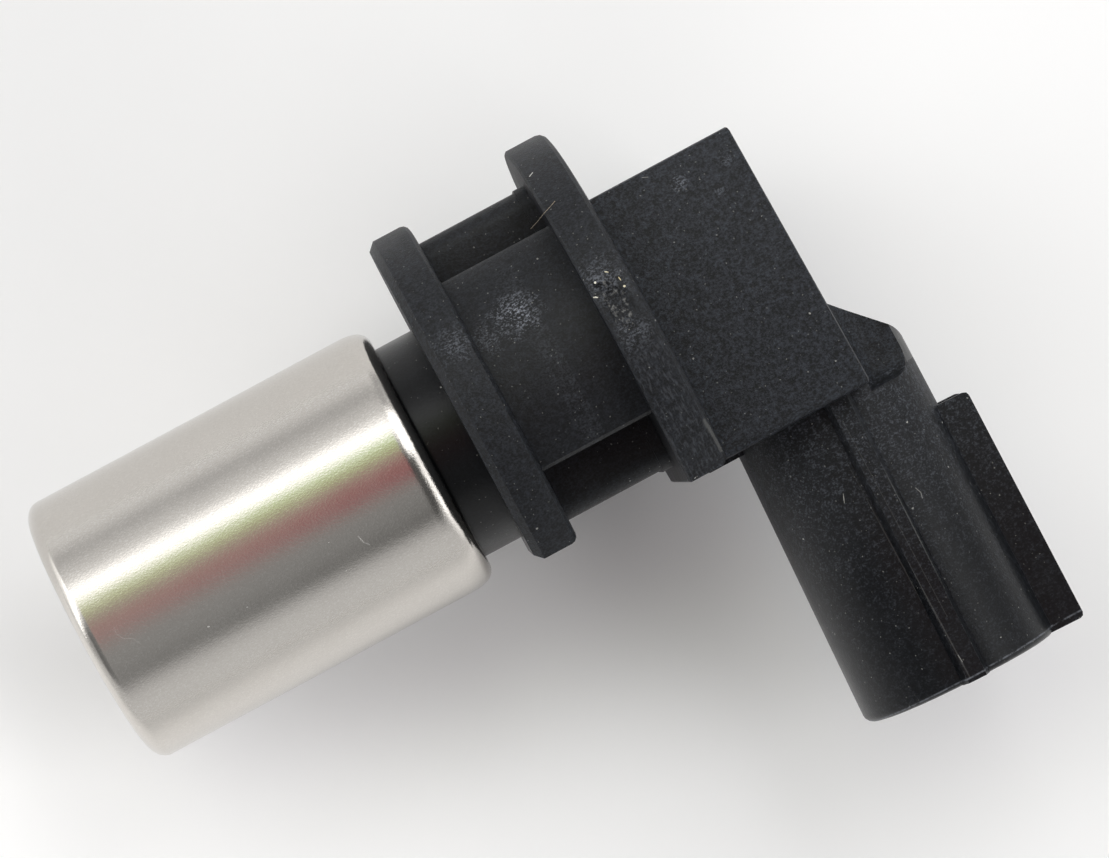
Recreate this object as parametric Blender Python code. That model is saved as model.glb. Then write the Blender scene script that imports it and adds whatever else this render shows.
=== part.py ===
"""Crankshaft position sensor: a steel-capped barrel with a right-angled, sealed two-way connector.

The barrel runs along +X from the sensing tip, which lies in the plane X = 0, to the rear block.
The connector hangs from the block along -Y, and its keying rib faces +Z.
All sizes are in metres.
"""
import math

import bmesh
import bpy
from mathutils import Matrix, Vector

MM = 0.001

# Clearances between pieces that touch on the real part
FIT = 0.3 * MM

# Steel cap, drawn in one piece and rolled in over the housing's shoulder
CAP_RADIUS = 9.0 * MM
CAP_LENGTH = 24.3 * MM
CAP_WALL = 0.5 * MM
CAP_NOSE_ROUND = 1.3 * MM
CAP_ROLL_LENGTH = 1.0 * MM

# Seal neck between the cap and the front flange
NECK_RADIUS = 7.38 * MM
NECK_LENGTH = 2.6 * MM

# Front flange, which seats on the engine
SEAT_FLANGE_RADIUS = 13.45 * MM
SEAT_FLANGE_THICKNESS = 2.9 * MM
SEAT_FLANGE_FLAT = 9.05 * MM
SEAT_FLANGE_CHAMFER = 0.5 * MM
SEAT_FLANGE_ROUND = 0.5 * MM

# Channel between the flanges, with its keyed middle
CHANNEL_LENGTH = 7.5 * MM
WING_TOP = 11.8 * MM
WING_BOTTOM = 7.8 * MM
WING_THICKNESS = 9.0 * MM
WING_ROUND = 1.3 * MM
STEP_LENGTH = 0.75 * MM
STEP_HEIGHT = 0.15 * MM
BOSS_RADIUS = 12.0 * MM
BOSS_TOP = 8.8 * MM
BOSS_BOTTOM = 4.3 * MM
BOSS_EDGE = 0.2 * MM

# Rear flange
REAR_FLANGE_RADIUS = 14.5 * MM
REAR_FLANGE_THICKNESS = 2.8 * MM
REAR_FLANGE_FLAT = 9.15 * MM
REAR_FLANGE_EDGE = 0.15 * MM
REAR_FLANGE_ROUND = 0.6 * MM

# Square block behind the rear flange, as long as the connector shell needs
BLOCK_SIDE = 18.0 * MM
BLOCK_EDGE = 0.3 * MM
SHELL_GAP = 1.28 * MM
SHELL_OVERHANG = 3.85 * MM

# Low bar under the block that fills the crevice between the rear flange and the connector shell
CREVICE_BAR_DEPTH = 0.42 * MM
CREVICE_BAR_WIDTH = 4.0 * MM

# Front plug of the housing, inside the cap
PLUG_LENGTH = 9.0 * MM
PLUG_CHAMFER = 0.4 * MM
SEAL_GROOVE_RADIUS = 6.7 * MM
SEAL_GROOVE_WIDTH = 1.8 * MM
SEAL_GROOVE_SETBACK = 2.4 * MM
SEAL_CORD_RADIUS = 0.6 * MM

# Connector shell
CONNECTOR_LEAN = math.radians(1.6)
SHELL_LENGTH = 19.32 * MM
SHELL_HALF_WIDTH = 6.32 * MM
SHELL_HALF_DEPTH = 6.4 * MM
SHELL_DRAFT = math.radians(1.0)
SHELL_DEPTH_DRAFT = math.radians(0.5)
SHELL_SQUARENESS = 2.2
SHELL_WALL = 1.4 * MM
SHELL_LIP_ROUND = 0.55 * MM
SOCKET_DEPTH = 11.9 * MM
SOCKET_LIP_CHAMFER = 0.3 * MM

# Keying rib on the near side of the shell
RIB_OFFSET = 0.28 * MM
RIB_BASE = 1.85 * MM
RIB_CREST = 1.2 * MM
RIB_HEIGHT = 0.8 * MM
RIB_SETBACK = 0.03 * MM

# Guard rails of the latch, and the locking nib between them
RAIL_HEIGHT = 1.8 * MM
RAIL_THICKNESS = 0.9 * MM
RAIL_OUTER = 2.4 * MM
RAIL_START = 3.25 * MM
RAIL_SETBACK = 0.12 * MM
RAIL_EDGE = 0.3 * MM
NIB_HEIGHT = 1.2 * MM
NIB_START = 8.0 * MM
NIB_LENGTH = 3.6 * MM

# Web between the block and the shell: the shell runs on up the block, with a coved pocket each side
WEB_HALF_THICKNESS = 3.2 * MM
WEB_COVE = 1.7 * MM
WEB_TOP = 3.05 * MM
WEB_SLOPE = math.radians(46.8)
WEB_CORNER_RADIUS = 2.0 * MM
WEB_INSET = 0.02 * MM
WEB_ROOT = 0.02 * MM
SHELL_END_SETBACK = 0.6 * MM

# Coil bobbin
BOBBIN_FLANGE_RADIUS = 8.0 * MM
BOBBIN_FLANGE_THICKNESS = 0.8 * MM
BOBBIN_TUBE_WALL = 0.8 * MM
BOBBIN_TAIL_RADIUS = 5.0 * MM
BOBBIN_END_WALL = 1.5 * MM
WINDING_DEPTH = 3.5 * MM
TAPE_THICKNESS = 0.25 * MM
LEAD_RADIUS = 0.25 * MM

# Magnetic circuit
CORE_RADIUS = 2.6 * MM
MAGNET_LENGTH = 7.0 * MM
CORE_EDGE = 0.2 * MM

# Terminals and the posts that the winding ends on
BLADE_WIDTH = 2.2 * MM
BLADE_THICKNESS = 0.8 * MM
BLADE_PITCH = 4.6 * MM
BLADE_TIP_DEPTH = 4.7 * MM
BLADE_TIP_CHAMFER = 0.35 * MM
BLADE_BEND_INNER = 0.4 * MM
POST_WIDTH = 0.7 * MM
POST_LENGTH = 2.6 * MM
POST_OVERLAP = 1.1 * MM

# Fineness of the round shapes
CAP_SEGMENTS = 96
HOUSING_SEGMENTS = 80
FLANGE_POINTS = 72
INNER_SEGMENTS = 40
SHELL_POINTS = 56
EDGE_STEPS = 3

# Stations along the barrel that follow from the sizes above
CAP_INSIDE = CAP_WALL
CAP_BORE = CAP_RADIUS - CAP_WALL
SEAT_FACE = CAP_LENGTH + NECK_LENGTH
SEAT_FLANGE_REAR = SEAT_FACE + SEAT_FLANGE_THICKNESS
REAR_FLANGE_FRONT = SEAT_FLANGE_REAR + CHANNEL_LENGTH
REAR_FLANGE_REAR = REAR_FLANGE_FRONT + REAR_FLANGE_THICKNESS
BLOCK_REAR = REAR_FLANGE_REAR + SHELL_GAP + 2 * SHELL_HALF_WIDTH - SHELL_OVERHANG
BLOCK_HALF = BLOCK_SIDE / 2
BORE_RADIUS = CORE_RADIUS + FIT
TUBE_RADIUS = BORE_RADIUS + BOBBIN_TUBE_WALL
PLUG_REAR = CAP_LENGTH - CAP_ROLL_LENGTH - CAP_WALL
PLUG_FRONT = PLUG_REAR - PLUG_LENGTH
PLUG_RADIUS = CAP_BORE - FIT
BOBBIN_FRONT = CAP_INSIDE + FIT
BOBBIN_SHOULDER = PLUG_FRONT - FIT
WINDING_FRONT = BOBBIN_FRONT + BOBBIN_FLANGE_THICKNESS + FIT
WINDING_REAR = BOBBIN_SHOULDER - BOBBIN_FLANGE_THICKNESS - FIT
WINDING_INNER = TUBE_RADIUS + FIT
WINDING_OUTER = WINDING_INNER + WINDING_DEPTH
MAGNET_FRONT = WINDING_REAR + FIT
CORE_REAR = MAGNET_FRONT - FIT
MAGNET_REAR = MAGNET_FRONT + MAGNET_LENGTH
BOBBIN_REAR = MAGNET_REAR + FIT + BOBBIN_END_WALL
SEAL_GROOVE_REAR = PLUG_REAR - SEAL_GROOVE_SETBACK
POCKET_RADIUS = BOBBIN_TAIL_RADIUS + FIT
POST_REAR = BOBBIN_REAR + POST_LENGTH - BOBBIN_END_WALL / 2
POCKET_REAR = POST_REAR + FIT
TERMINAL_FRONT = POST_REAR - POST_OVERLAP
POST_Y = BLADE_THICKNESS / 2 + FIT + POST_WIDTH / 2
CONNECTOR_X = REAR_FLANGE_REAR + SHELL_GAP + SHELL_HALF_WIDTH
CONNECTOR_Y = -BLOCK_HALF
BLADE_TIP = SHELL_LENGTH - BLADE_TIP_DEPTH
SOCKET_FLOOR = SHELL_LENGTH - SOCKET_DEPTH
SHELL_END_Y = CONNECTOR_Y - SHELL_END_SETBACK


def remove_everything():
    for thing in list(bpy.data.objects):
        bpy.data.objects.remove(thing, do_unlink=True)


def object_from(name, bm):
    """Turns a bmesh into a named object whose faces point outwards."""
    bmesh.ops.recalc_face_normals(bm, faces=bm.faces)
    mesh = bpy.data.meshes.new(name)
    bm.to_mesh(mesh)
    bm.free()
    thing = bpy.data.objects.new(name, mesh)
    bpy.context.scene.collection.objects.link(thing)
    return thing


def finish(thing, colour, roughness, metallic=0.0, crease_degrees=30):
    """Gives a piece its material and its smooth shading."""
    thing.data.shade_smooth()
    thing.data.set_sharp_from_angle(angle=math.radians(crease_degrees))
    material = bpy.data.materials.new(thing.name)
    material.use_nodes = True
    shader = material.node_tree.nodes["Principled BSDF"]
    shader.inputs["Base Color"].default_value = (*colour, 1.0)
    shader.inputs["Roughness"].default_value = roughness
    shader.inputs["Metallic"].default_value = metallic
    material.diffuse_color = (*colour, 1.0)
    thing.data.materials.clear()
    thing.data.materials.append(material)
    return thing


def combine(body, tool, operation):
    """Joins a tool to the body, cuts it away or keeps what both share, and deletes the tool."""
    change = body.modifiers.new("change", "BOOLEAN")
    change.operation = operation
    change.solver = "EXACT"
    change.object = tool
    evaluated = body.evaluated_get(bpy.context.evaluated_depsgraph_get())
    result = bpy.data.meshes.new_from_object(evaluated)
    body.modifiers.clear()
    body.data = result
    bpy.data.objects.remove(tool, do_unlink=True)
    return body


def arc(centre, radius, start, end, steps):
    """Points of a circular arc, with the angles in degrees."""
    points = []
    for step in range(steps + 1):
        angle = math.radians(start + (end - start) * step / steps)
        points.append((centre[0] + radius * math.cos(angle), centre[1] + radius * math.sin(angle)))
    return points


def turned(name, profile, segments):
    """Spins a closed profile of (x, radius) points round the X axis."""
    bm = bmesh.new()
    corners = [bm.verts.new((x, 0.0, radius)) for x, radius in profile]
    edges = [bm.edges.new((corners[i - 1], corners[i])) for i in range(len(corners))]
    on_axis = [edge for edge in edges if all(abs(v.co.z) < 1e-9 for v in edge.verts)]
    edges = [edge for edge in edges if edge not in on_axis]
    for edge in on_axis:
        bm.edges.remove(edge)
    bmesh.ops.spin(bm, geom=edges, cent=(0, 0, 0), axis=(1, 0, 0), angle=math.tau,
                   steps=segments, use_merge=True)
    bmesh.ops.remove_doubles(bm, verts=bm.verts, dist=1e-7)
    bmesh.ops.dissolve_degenerate(bm, edges=bm.edges, dist=1e-8)
    return object_from(name, bm)


def prism(name, outline, low, high, place=lambda a, b, c: (a, b, c)):
    """Extrudes a flat outline of (a, b) points from c = low to c = high."""
    bm = bmesh.new()
    face = bm.faces.new([bm.verts.new(place(a, b, low)) for a, b in outline])
    grown = bmesh.ops.extrude_face_region(bm, geom=[face])
    moved = [item for item in grown["geom"] if isinstance(item, bmesh.types.BMVert)]
    shift = Vector(place(0, 0, high)) - Vector(place(0, 0, low))
    bmesh.ops.translate(bm, verts=moved, vec=shift)
    return object_from(name, bm)


def cuboid(name, low, high, edge_round=0.0, steps=2):
    """A box between two corners, with all its edges rounded where a radius is given."""
    bm = bmesh.new()
    bmesh.ops.create_cube(bm, size=1.0)
    size = Vector(high) - Vector(low)
    middle = (Vector(high) + Vector(low)) / 2
    bmesh.ops.transform(bm, verts=bm.verts, matrix=Matrix.Translation(middle) @ Matrix.Diagonal((*size, 1.0)))
    if edge_round > 0.0:
        bmesh.ops.bevel(bm, geom=list(bm.edges), offset=edge_round, segments=steps, profile=0.5,
                        affect="EDGES")
        bmesh.ops.triangulate(bm, faces=bm.faces[:])
    return object_from(name, bm)


def loft(name, sections):
    """Bridges closed rings of equally many points and caps both ends."""
    bm = bmesh.new()
    rings = [[bm.verts.new(point) for point in section] for section in sections]
    count = len(rings[0])
    for near, far in zip(rings, rings[1:]):
        for i in range(count):
            j = (i + 1) % count
            bm.faces.new((near[i], near[j], far[j], far[i]))
    bmesh.ops.triangulate(bm, faces=bm.faces[:])
    bm.faces.new(rings[0])
    bm.faces.new(rings[-1])
    return object_from(name, bm)


def make_steel_cap():
    """The drawn cap: flat nose, straight wall and a rear edge rolled in over the plug's shoulder."""
    roll_start = CAP_LENGTH - CAP_ROLL_LENGTH
    mouth = NECK_RADIUS + FIT
    drop = CAP_RADIUS - mouth
    inner_drop = drop - CAP_WALL
    profile = [(0.0, 0.0)]
    profile += arc((CAP_NOSE_ROUND, CAP_RADIUS - CAP_NOSE_ROUND), CAP_NOSE_ROUND, 180, 90, 6)
    for step in range(6):
        turn = math.radians(90 * step / 5)
        profile.append((roll_start + CAP_ROLL_LENGTH * math.sin(turn),
                        CAP_RADIUS - drop * (1 - math.cos(turn))))
    for step in range(4):
        turn = math.radians(90 * (3 - step) / 3)
        profile.append((roll_start + (CAP_ROLL_LENGTH - CAP_WALL) * math.sin(turn),
                        CAP_BORE - inner_drop * (1 - math.cos(turn))))
    inside_round = CAP_NOSE_ROUND - CAP_WALL
    profile += arc((CAP_NOSE_ROUND, CAP_BORE - inside_round), inside_round, 90, 180, 3)
    profile.append((CAP_INSIDE, 0.0))
    return finish(turned("steel_cap", profile, CAP_SEGMENTS), (0.62, 0.60, 0.56), 0.32, 1.0)


def make_spool():
    """The turned part of the housing: plug with its seal groove, seal neck and the core behind it."""
    spine = WING_THICKNESS / 2 - WING_ROUND
    profile = [
        (POCKET_REAR, 0.0),
        (POCKET_REAR, POCKET_RADIUS),
        (PLUG_FRONT, POCKET_RADIUS),
        (PLUG_FRONT, PLUG_RADIUS - PLUG_CHAMFER),
        (PLUG_FRONT + PLUG_CHAMFER, PLUG_RADIUS),
        (SEAL_GROOVE_REAR - SEAL_GROOVE_WIDTH, PLUG_RADIUS),
        (SEAL_GROOVE_REAR - SEAL_GROOVE_WIDTH, SEAL_GROOVE_RADIUS),
        (SEAL_GROOVE_REAR, SEAL_GROOVE_RADIUS),
        (SEAL_GROOVE_REAR, PLUG_RADIUS),
        (PLUG_REAR - PLUG_CHAMFER, PLUG_RADIUS),
        (PLUG_REAR, PLUG_RADIUS - PLUG_CHAMFER),
        (PLUG_REAR, NECK_RADIUS),
        (SEAT_FACE + SEAT_FLANGE_THICKNESS / 2, NECK_RADIUS),
        (SEAT_FACE + SEAT_FLANGE_THICKNESS / 2, spine),
        (REAR_FLANGE_FRONT + REAR_FLANGE_THICKNESS / 2, spine),
        (REAR_FLANGE_FRONT + REAR_FLANGE_THICKNESS / 2, 0.0),
    ]
    return turned("sensor_housing", profile, HOUSING_SEGMENTS)


def flange_ring(x, radius, flat, inset):
    """The outline of a flange at one station: a circle with its lower edge cut off, drawn in."""
    radius = radius - inset
    half_gap = math.acos((flat - inset) / radius)
    ring = []
    for i in range(FLANGE_POINTS):
        angle = half_gap + (math.tau - 2 * half_gap) * i / (FLANGE_POINTS - 1)
        ring.append((x, -radius * math.cos(angle), radius * math.sin(angle)))
    return ring


def flange(name, front, rear, radius, flat, front_chamfer, rear_round):
    """A flange with a flat, a chamfered front edge and a rounded rear edge that follow the flat too."""
    sections = [flange_ring(front, radius, flat, front_chamfer),
                flange_ring(front + front_chamfer, radius, flat, 0.0)]
    for back, inset in arc((rear_round, rear_round), rear_round, 270, 180, EDGE_STEPS):
        sections.append(flange_ring(rear - back, radius, flat, inset))
    return loft(name, sections)


def wing_bar(name, front, rear, grow):
    """The flat middle of the channel, with its four long edges rounded."""
    low = -WING_BOTTOM - grow
    high = WING_TOP + grow
    half = WING_THICKNESS / 2 + grow
    round_size = WING_ROUND + grow
    outline = arc((high - round_size, half - round_size), round_size, 0, 90, 4)
    outline += arc((low + round_size, half - round_size), round_size, 90, 180, 4)
    outline += arc((low + round_size, -half + round_size), round_size, 180, 270, 4)
    outline += arc((high - round_size, -half + round_size), round_size, 270, 360, 4)
    return prism(name, outline, front, rear, lambda y, z, x: (x, y, z))


def boss_bar(front, rear):
    """The raised crowned bosses of both sides, as one slab through the middle."""
    edge = BOSS_EDGE
    top_angle = math.degrees(math.asin((BOSS_TOP - edge) / BOSS_RADIUS))
    bottom_angle = math.degrees(math.asin((BOSS_BOTTOM - edge) / BOSS_RADIUS))
    crown = arc((0.0, 0.0), BOSS_RADIUS, 90 - top_angle, 90 + bottom_angle, 12)
    top_side = math.sqrt(BOSS_RADIUS ** 2 - BOSS_TOP ** 2) - edge
    bottom_side = math.sqrt(BOSS_RADIUS ** 2 - BOSS_BOTTOM ** 2) - edge
    near = [(BOSS_TOP, top_side)] + crown + [(-BOSS_BOTTOM, bottom_side)]
    far = [(y, -z) for y, z in reversed(near)]
    return prism("boss_bar", near + far, front, rear, lambda y, z, x: (x, y, z))


def connector_point(side, depth, along):
    """A point of the connector: sideways, towards the rib, and along from the block to the mouth."""
    lean_cos = math.cos(CONNECTOR_LEAN)
    lean_sin = math.sin(CONNECTOR_LEAN)
    x = CONNECTOR_X + side * lean_cos - along * lean_sin
    y = CONNECTOR_Y - side * lean_sin - along * lean_cos
    return (x, y, depth)


def shell_half_width(along):
    return SHELL_HALF_WIDTH + along * math.tan(SHELL_DRAFT)


def shell_half_depth(along):
    return SHELL_HALF_DEPTH + along * math.tan(SHELL_DEPTH_DRAFT)


def oval(along, inset):
    """One ring of the shell, drawn in from its outer surface by an inset."""
    half_width = shell_half_width(along) - inset
    half_depth = shell_half_depth(along) - inset
    power = 2 / SHELL_SQUARENESS
    ring = []
    for i in range(SHELL_POINTS):
        angle = math.tau * (i + 0.5) / SHELL_POINTS
        across = math.cos(angle)
        up = math.sin(angle)
        side = math.copysign(abs(across) ** power, across) * half_width
        depth = math.copysign(abs(up) ** power, up) * half_depth
        ring.append(connector_point(side, depth, along))
    return ring


def corner_cutter():
    """What is taken off the shell's extension behind the block, down to the web's sloping outline."""
    outer = connector_point(shell_half_width(0.0) - WEB_INSET, 0.0, 0.0)[0]
    radius = WEB_CORNER_RADIUS
    corner = outer - radius
    run = corner - BLOCK_REAR
    centre_y = -WEB_TOP - (radius + run * math.sin(WEB_SLOPE)) / math.cos(WEB_SLOPE)
    past = 1.0 * MM
    start_y = -WEB_TOP + past * math.tan(WEB_SLOPE)
    outline = [(BLOCK_REAR - past, start_y)]
    outline += reversed(arc((corner, centre_y), radius, 0, 90 - math.degrees(WEB_SLOPE), 6))
    outline += [(outer + past, centre_y), (outer + past, 0.0), (BLOCK_REAR - past, 0.0)]
    reach = SHELL_HALF_DEPTH + past
    return prism("corner_cutter", outline, -reach, reach)


def shell_body():
    """The outside of the connector shell, solid, from inside the block to its rounded lip."""
    root = WEB_TOP + CONNECTOR_Y - FIT
    sections = [oval(root, 0.0), oval(0.0, 0.0)]
    for along, inset in arc((SHELL_LENGTH - SHELL_LIP_ROUND, SHELL_LIP_ROUND), SHELL_LIP_ROUND, 270, 360, 4):
        sections.append(oval(along, inset))
    return combine(loft("shell_body", sections), corner_cutter(), "DIFFERENCE")


def socket_cutter():
    """The inside of the connector shell, from the socket's floor out past its mouth."""
    past = SHELL_LENGTH + 1.0 * MM
    chamfer_start = SHELL_LENGTH - SOCKET_LIP_CHAMFER
    widened = SHELL_WALL - SOCKET_LIP_CHAMFER - 1.0 * MM
    return loft("socket_cutter", [oval(SOCKET_FLOOR, SHELL_WALL), oval(chamfer_start, SHELL_WALL),
                                  oval(past, widened)])


def rib_bar():
    """The keying rib, which keeps its height above the drafted shell."""
    sections = []
    for along in (-FIT, SHELL_LENGTH - RIB_SETBACK):
        surface = shell_half_depth(along)
        outline = [(-RIB_BASE / 2, surface - RIB_HEIGHT), (-RIB_BASE / 2, surface),
                   (-RIB_CREST / 2, surface + RIB_HEIGHT), (RIB_CREST / 2, surface + RIB_HEIGHT),
                   (RIB_BASE / 2, surface), (RIB_BASE / 2, surface - RIB_HEIGHT)]
        sections.append([connector_point(RIB_OFFSET + side, depth, along) for side, depth in outline])
    return loft("rib_bar", sections)


def rail_bar(inner, outer):
    """One guard rail of the latch, rounded at its free edges."""
    edge = RAIL_EDGE
    low = shell_half_width(RAIL_START) - SHELL_WALL / 2
    root_height = shell_half_width(RAIL_START) + RAIL_HEIGHT
    mouth_height = shell_half_width(SHELL_LENGTH) + RAIL_HEIGHT
    rail_end = SHELL_LENGTH - RAIL_SETBACK
    outline = [(low, RAIL_START)]
    outline += arc((root_height - edge, RAIL_START + edge), edge, 270, 360, 2)
    outline += arc((mouth_height - edge, rail_end - edge), edge, 0, 90, 2)
    outline.append((low, rail_end))
    return prism("rail_bar", outline, inner, outer,
                 lambda side, along, depth: connector_point(side, depth, along))


def nib_wedge():
    """The locking nib: a ramp towards the mouth and a steep face towards the block."""
    base = shell_half_width(NIB_START) - SHELL_WALL / 2
    crest = shell_half_width(NIB_START) + NIB_HEIGHT
    outline = [(base, NIB_START), (crest, NIB_START + NIB_HEIGHT / 4),
               (crest, NIB_START + NIB_LENGTH / 3), (base, NIB_START + NIB_LENGTH + NIB_HEIGHT)]
    half = RAIL_OUTER - RAIL_THICKNESS / 2
    return prism("nib_wedge", outline, -half, half,
                 lambda side, along, depth: connector_point(side, depth, along))


def web_pocket(side):
    """The pocket that leaves the web thin on one side, coved towards the block and the shell."""
    floor = WEB_HALF_THICKNESS
    cove = WEB_COVE
    wall_x = BLOCK_REAR + WEB_ROOT
    far_x = BLOCK_REAR + SHELL_OVERHANG + cove
    top = SHELL_HALF_DEPTH + cove
    beside_block = [(far_x, floor), (far_x, top), (wall_x, top)]
    beside_block += arc((wall_x + cove, floor + cove), cove, 180, 270, 6)
    above_shell = [(cove, floor), (cove, top), (SHELL_END_Y, top)]
    above_shell += arc((SHELL_END_Y + cove, floor + cove), cove, 180, 270, 6)
    pocket = prism("web_pocket", beside_block, SHELL_END_Y - cove, 2 * cove, lambda x, z, y: (x, y, side * z))
    trim = prism("pocket_trim", above_shell, wall_x - cove, far_x + cove, lambda y, z, x: (x, y, side * z))
    return combine(pocket, trim, "INTERSECT")


def blade_outline(half_thickness, front, tip, tip_chamfer):
    """The bent strip seen from the side: along the barrel, round the bend and down to its tip."""
    lean = math.tan(CONNECTOR_LEAN)
    bend_x = CONNECTOR_X + CONNECTOR_Y * -lean
    tip_x, tip_y, _ = connector_point(0.0, 0.0, tip)
    across_x = half_thickness * math.cos(CONNECTOR_LEAN)
    across_y = half_thickness * math.sin(CONNECTOR_LEAN)
    chamfer = tip_chamfer
    inner = BLADE_BEND_INNER
    inner_centre = (bend_x - half_thickness - inner, -half_thickness - inner)
    outline = [(front, half_thickness), (front, -half_thickness)]
    outline += arc(inner_centre, inner, 90, 0, EDGE_STEPS)
    outline += [(tip_x - across_x, tip_y + across_y + chamfer), (tip_x - across_x + chamfer, tip_y)]
    outline += [(tip_x + across_x - chamfer, tip_y), (tip_x + across_x, tip_y - across_y + chamfer)]
    outline += arc(inner_centre, inner + 2 * half_thickness, 0, 90, EDGE_STEPS + 1)
    return outline


def terminal_strip(name, middle, grow=0.0, front=TERMINAL_FRONT, tip=BLADE_TIP):
    """One terminal, or the slot for it where it is grown by a clearance."""
    chamfer = BLADE_TIP_CHAMFER if grow == 0.0 else FIT / 3
    outline = blade_outline(BLADE_THICKNESS / 2 + grow, front, tip, chamfer)
    half = BLADE_WIDTH / 2 + grow
    return prism(name, outline, middle - half, middle + half)


def make_sensor_housing():
    """The moulded housing, built up from its turned spool, block, connector and socket."""
    housing = make_spool()
    combine(housing, flange("seat_flange", SEAT_FACE, SEAT_FLANGE_REAR, SEAT_FLANGE_RADIUS,
                            SEAT_FLANGE_FLAT, SEAT_FLANGE_CHAMFER, SEAT_FLANGE_ROUND), "UNION")
    combine(housing, flange("rear_flange", REAR_FLANGE_FRONT, REAR_FLANGE_REAR, REAR_FLANGE_RADIUS,
                            REAR_FLANGE_FLAT, REAR_FLANGE_EDGE, REAR_FLANGE_ROUND), "UNION")
    front = SEAT_FLANGE_REAR - SEAT_FLANGE_ROUND
    rear = REAR_FLANGE_FRONT + REAR_FLANGE_EDGE + FIT
    combine(housing, wing_bar("wing_bar", front, rear, 0.0), "UNION")
    combine(housing, wing_bar("wing_step", REAR_FLANGE_FRONT - STEP_LENGTH, rear, STEP_HEIGHT), "UNION")
    combine(housing, boss_bar(front, rear), "UNION")
    block_front = REAR_FLANGE_REAR - REAR_FLANGE_THICKNESS / 3
    block = cuboid("block", (block_front, -BLOCK_HALF, -BLOCK_HALF), (BLOCK_REAR, BLOCK_HALF, BLOCK_HALF),
                   BLOCK_EDGE, 2)
    combine(housing, block, "UNION")
    half_bar = CREVICE_BAR_WIDTH / 2
    crevice_bar = cuboid("crevice_bar", (block_front, -BLOCK_HALF - CREVICE_BAR_DEPTH, -half_bar),
                         (CONNECTOR_X, 0.0, half_bar))
    combine(housing, crevice_bar, "UNION")
    combine(housing, shell_body(), "UNION")
    combine(housing, web_pocket(1), "DIFFERENCE")
    combine(housing, web_pocket(-1), "DIFFERENCE")
    combine(housing, rib_bar(), "UNION")
    combine(housing, rail_bar(RAIL_OUTER - RAIL_THICKNESS, RAIL_OUTER), "UNION")
    combine(housing, rail_bar(-RAIL_OUTER, -RAIL_OUTER + RAIL_THICKNESS), "UNION")
    combine(housing, nib_wedge(), "UNION")
    combine(housing, socket_cutter(), "DIFFERENCE")
    for side in (-1, 1):
        slot = terminal_strip("terminal_slot", side * BLADE_PITCH / 2, FIT,
                              POCKET_REAR - 1.0 * MM, SOCKET_FLOOR + 1.0 * MM)
        combine(housing, slot, "DIFFERENCE")
    return finish(housing, (0.018, 0.019, 0.021), 0.48)


def make_cap_seal_ring():
    """The rubber ring that seals the plug inside the cap."""
    middle = (SEAL_GROOVE_REAR - SEAL_GROOVE_WIDTH / 2, SEAL_GROOVE_RADIUS + FIT + SEAL_CORD_RADIUS)
    profile = arc(middle, SEAL_CORD_RADIUS, 0, 360 - 360 / 10, 9)
    return finish(turned("cap_seal_ring", profile, INNER_SEGMENTS), (0.015, 0.015, 0.015), 0.7)


def lead_groove(side):
    """Where one end of the winding runs back along the bobbin's tail."""
    slack = LEAD_RADIUS + FIT
    centre_z = lead_height()
    near = centre_z - slack
    far = BOBBIN_TAIL_RADIUS + 1.0 * MM
    low_z, high_z = (near, far) if side > 0 else (-far, -near)
    past = 1.0 * MM
    return cuboid("lead_groove", (WINDING_REAR - past, POST_Y - slack, low_z),
                  (BOBBIN_REAR + past, POST_Y + slack, high_z))


def lead_height():
    """How far to the side of the axis the lead ends run, inside the tail's own radius."""
    return math.sqrt(BOBBIN_TAIL_RADIUS ** 2 - (POST_Y + LEAD_RADIUS) ** 2) - LEAD_RADIUS


def make_coil_bobbin():
    """The bobbin: flanged tube for the winding and a closed tail that holds the magnet."""
    shoulder_front = WINDING_REAR + FIT
    flange_rear = BOBBIN_FRONT + BOBBIN_FLANGE_THICKNESS
    profile = [
        (BOBBIN_FRONT, BORE_RADIUS),
        (BOBBIN_FRONT, BOBBIN_FLANGE_RADIUS),
        (flange_rear, BOBBIN_FLANGE_RADIUS),
        (flange_rear, TUBE_RADIUS),
        (shoulder_front, TUBE_RADIUS),
        (shoulder_front, BOBBIN_FLANGE_RADIUS),
        (BOBBIN_SHOULDER, BOBBIN_FLANGE_RADIUS),
        (BOBBIN_SHOULDER, BOBBIN_TAIL_RADIUS),
        (BOBBIN_REAR, BOBBIN_TAIL_RADIUS),
        (BOBBIN_REAR, 0.0),
        (MAGNET_REAR + FIT, 0.0),
        (MAGNET_REAR + FIT, BORE_RADIUS),
    ]
    bobbin = turned("coil_bobbin", profile, INNER_SEGMENTS)
    hole = POST_WIDTH / 2 + FIT
    for side in (-1, 1):
        combine(bobbin, lead_groove(side), "DIFFERENCE")
        post_z = side * BLADE_PITCH / 2
        socket = cuboid("post_hole", (BOBBIN_REAR - BOBBIN_END_WALL / 2 - FIT, POST_Y - hole, post_z - hole),
                        (BOBBIN_REAR + 1.0 * MM, POST_Y + hole, post_z + hole))
        combine(bobbin, socket, "DIFFERENCE")
    return finish(bobbin, (0.55, 0.50, 0.38), 0.5)


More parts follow.
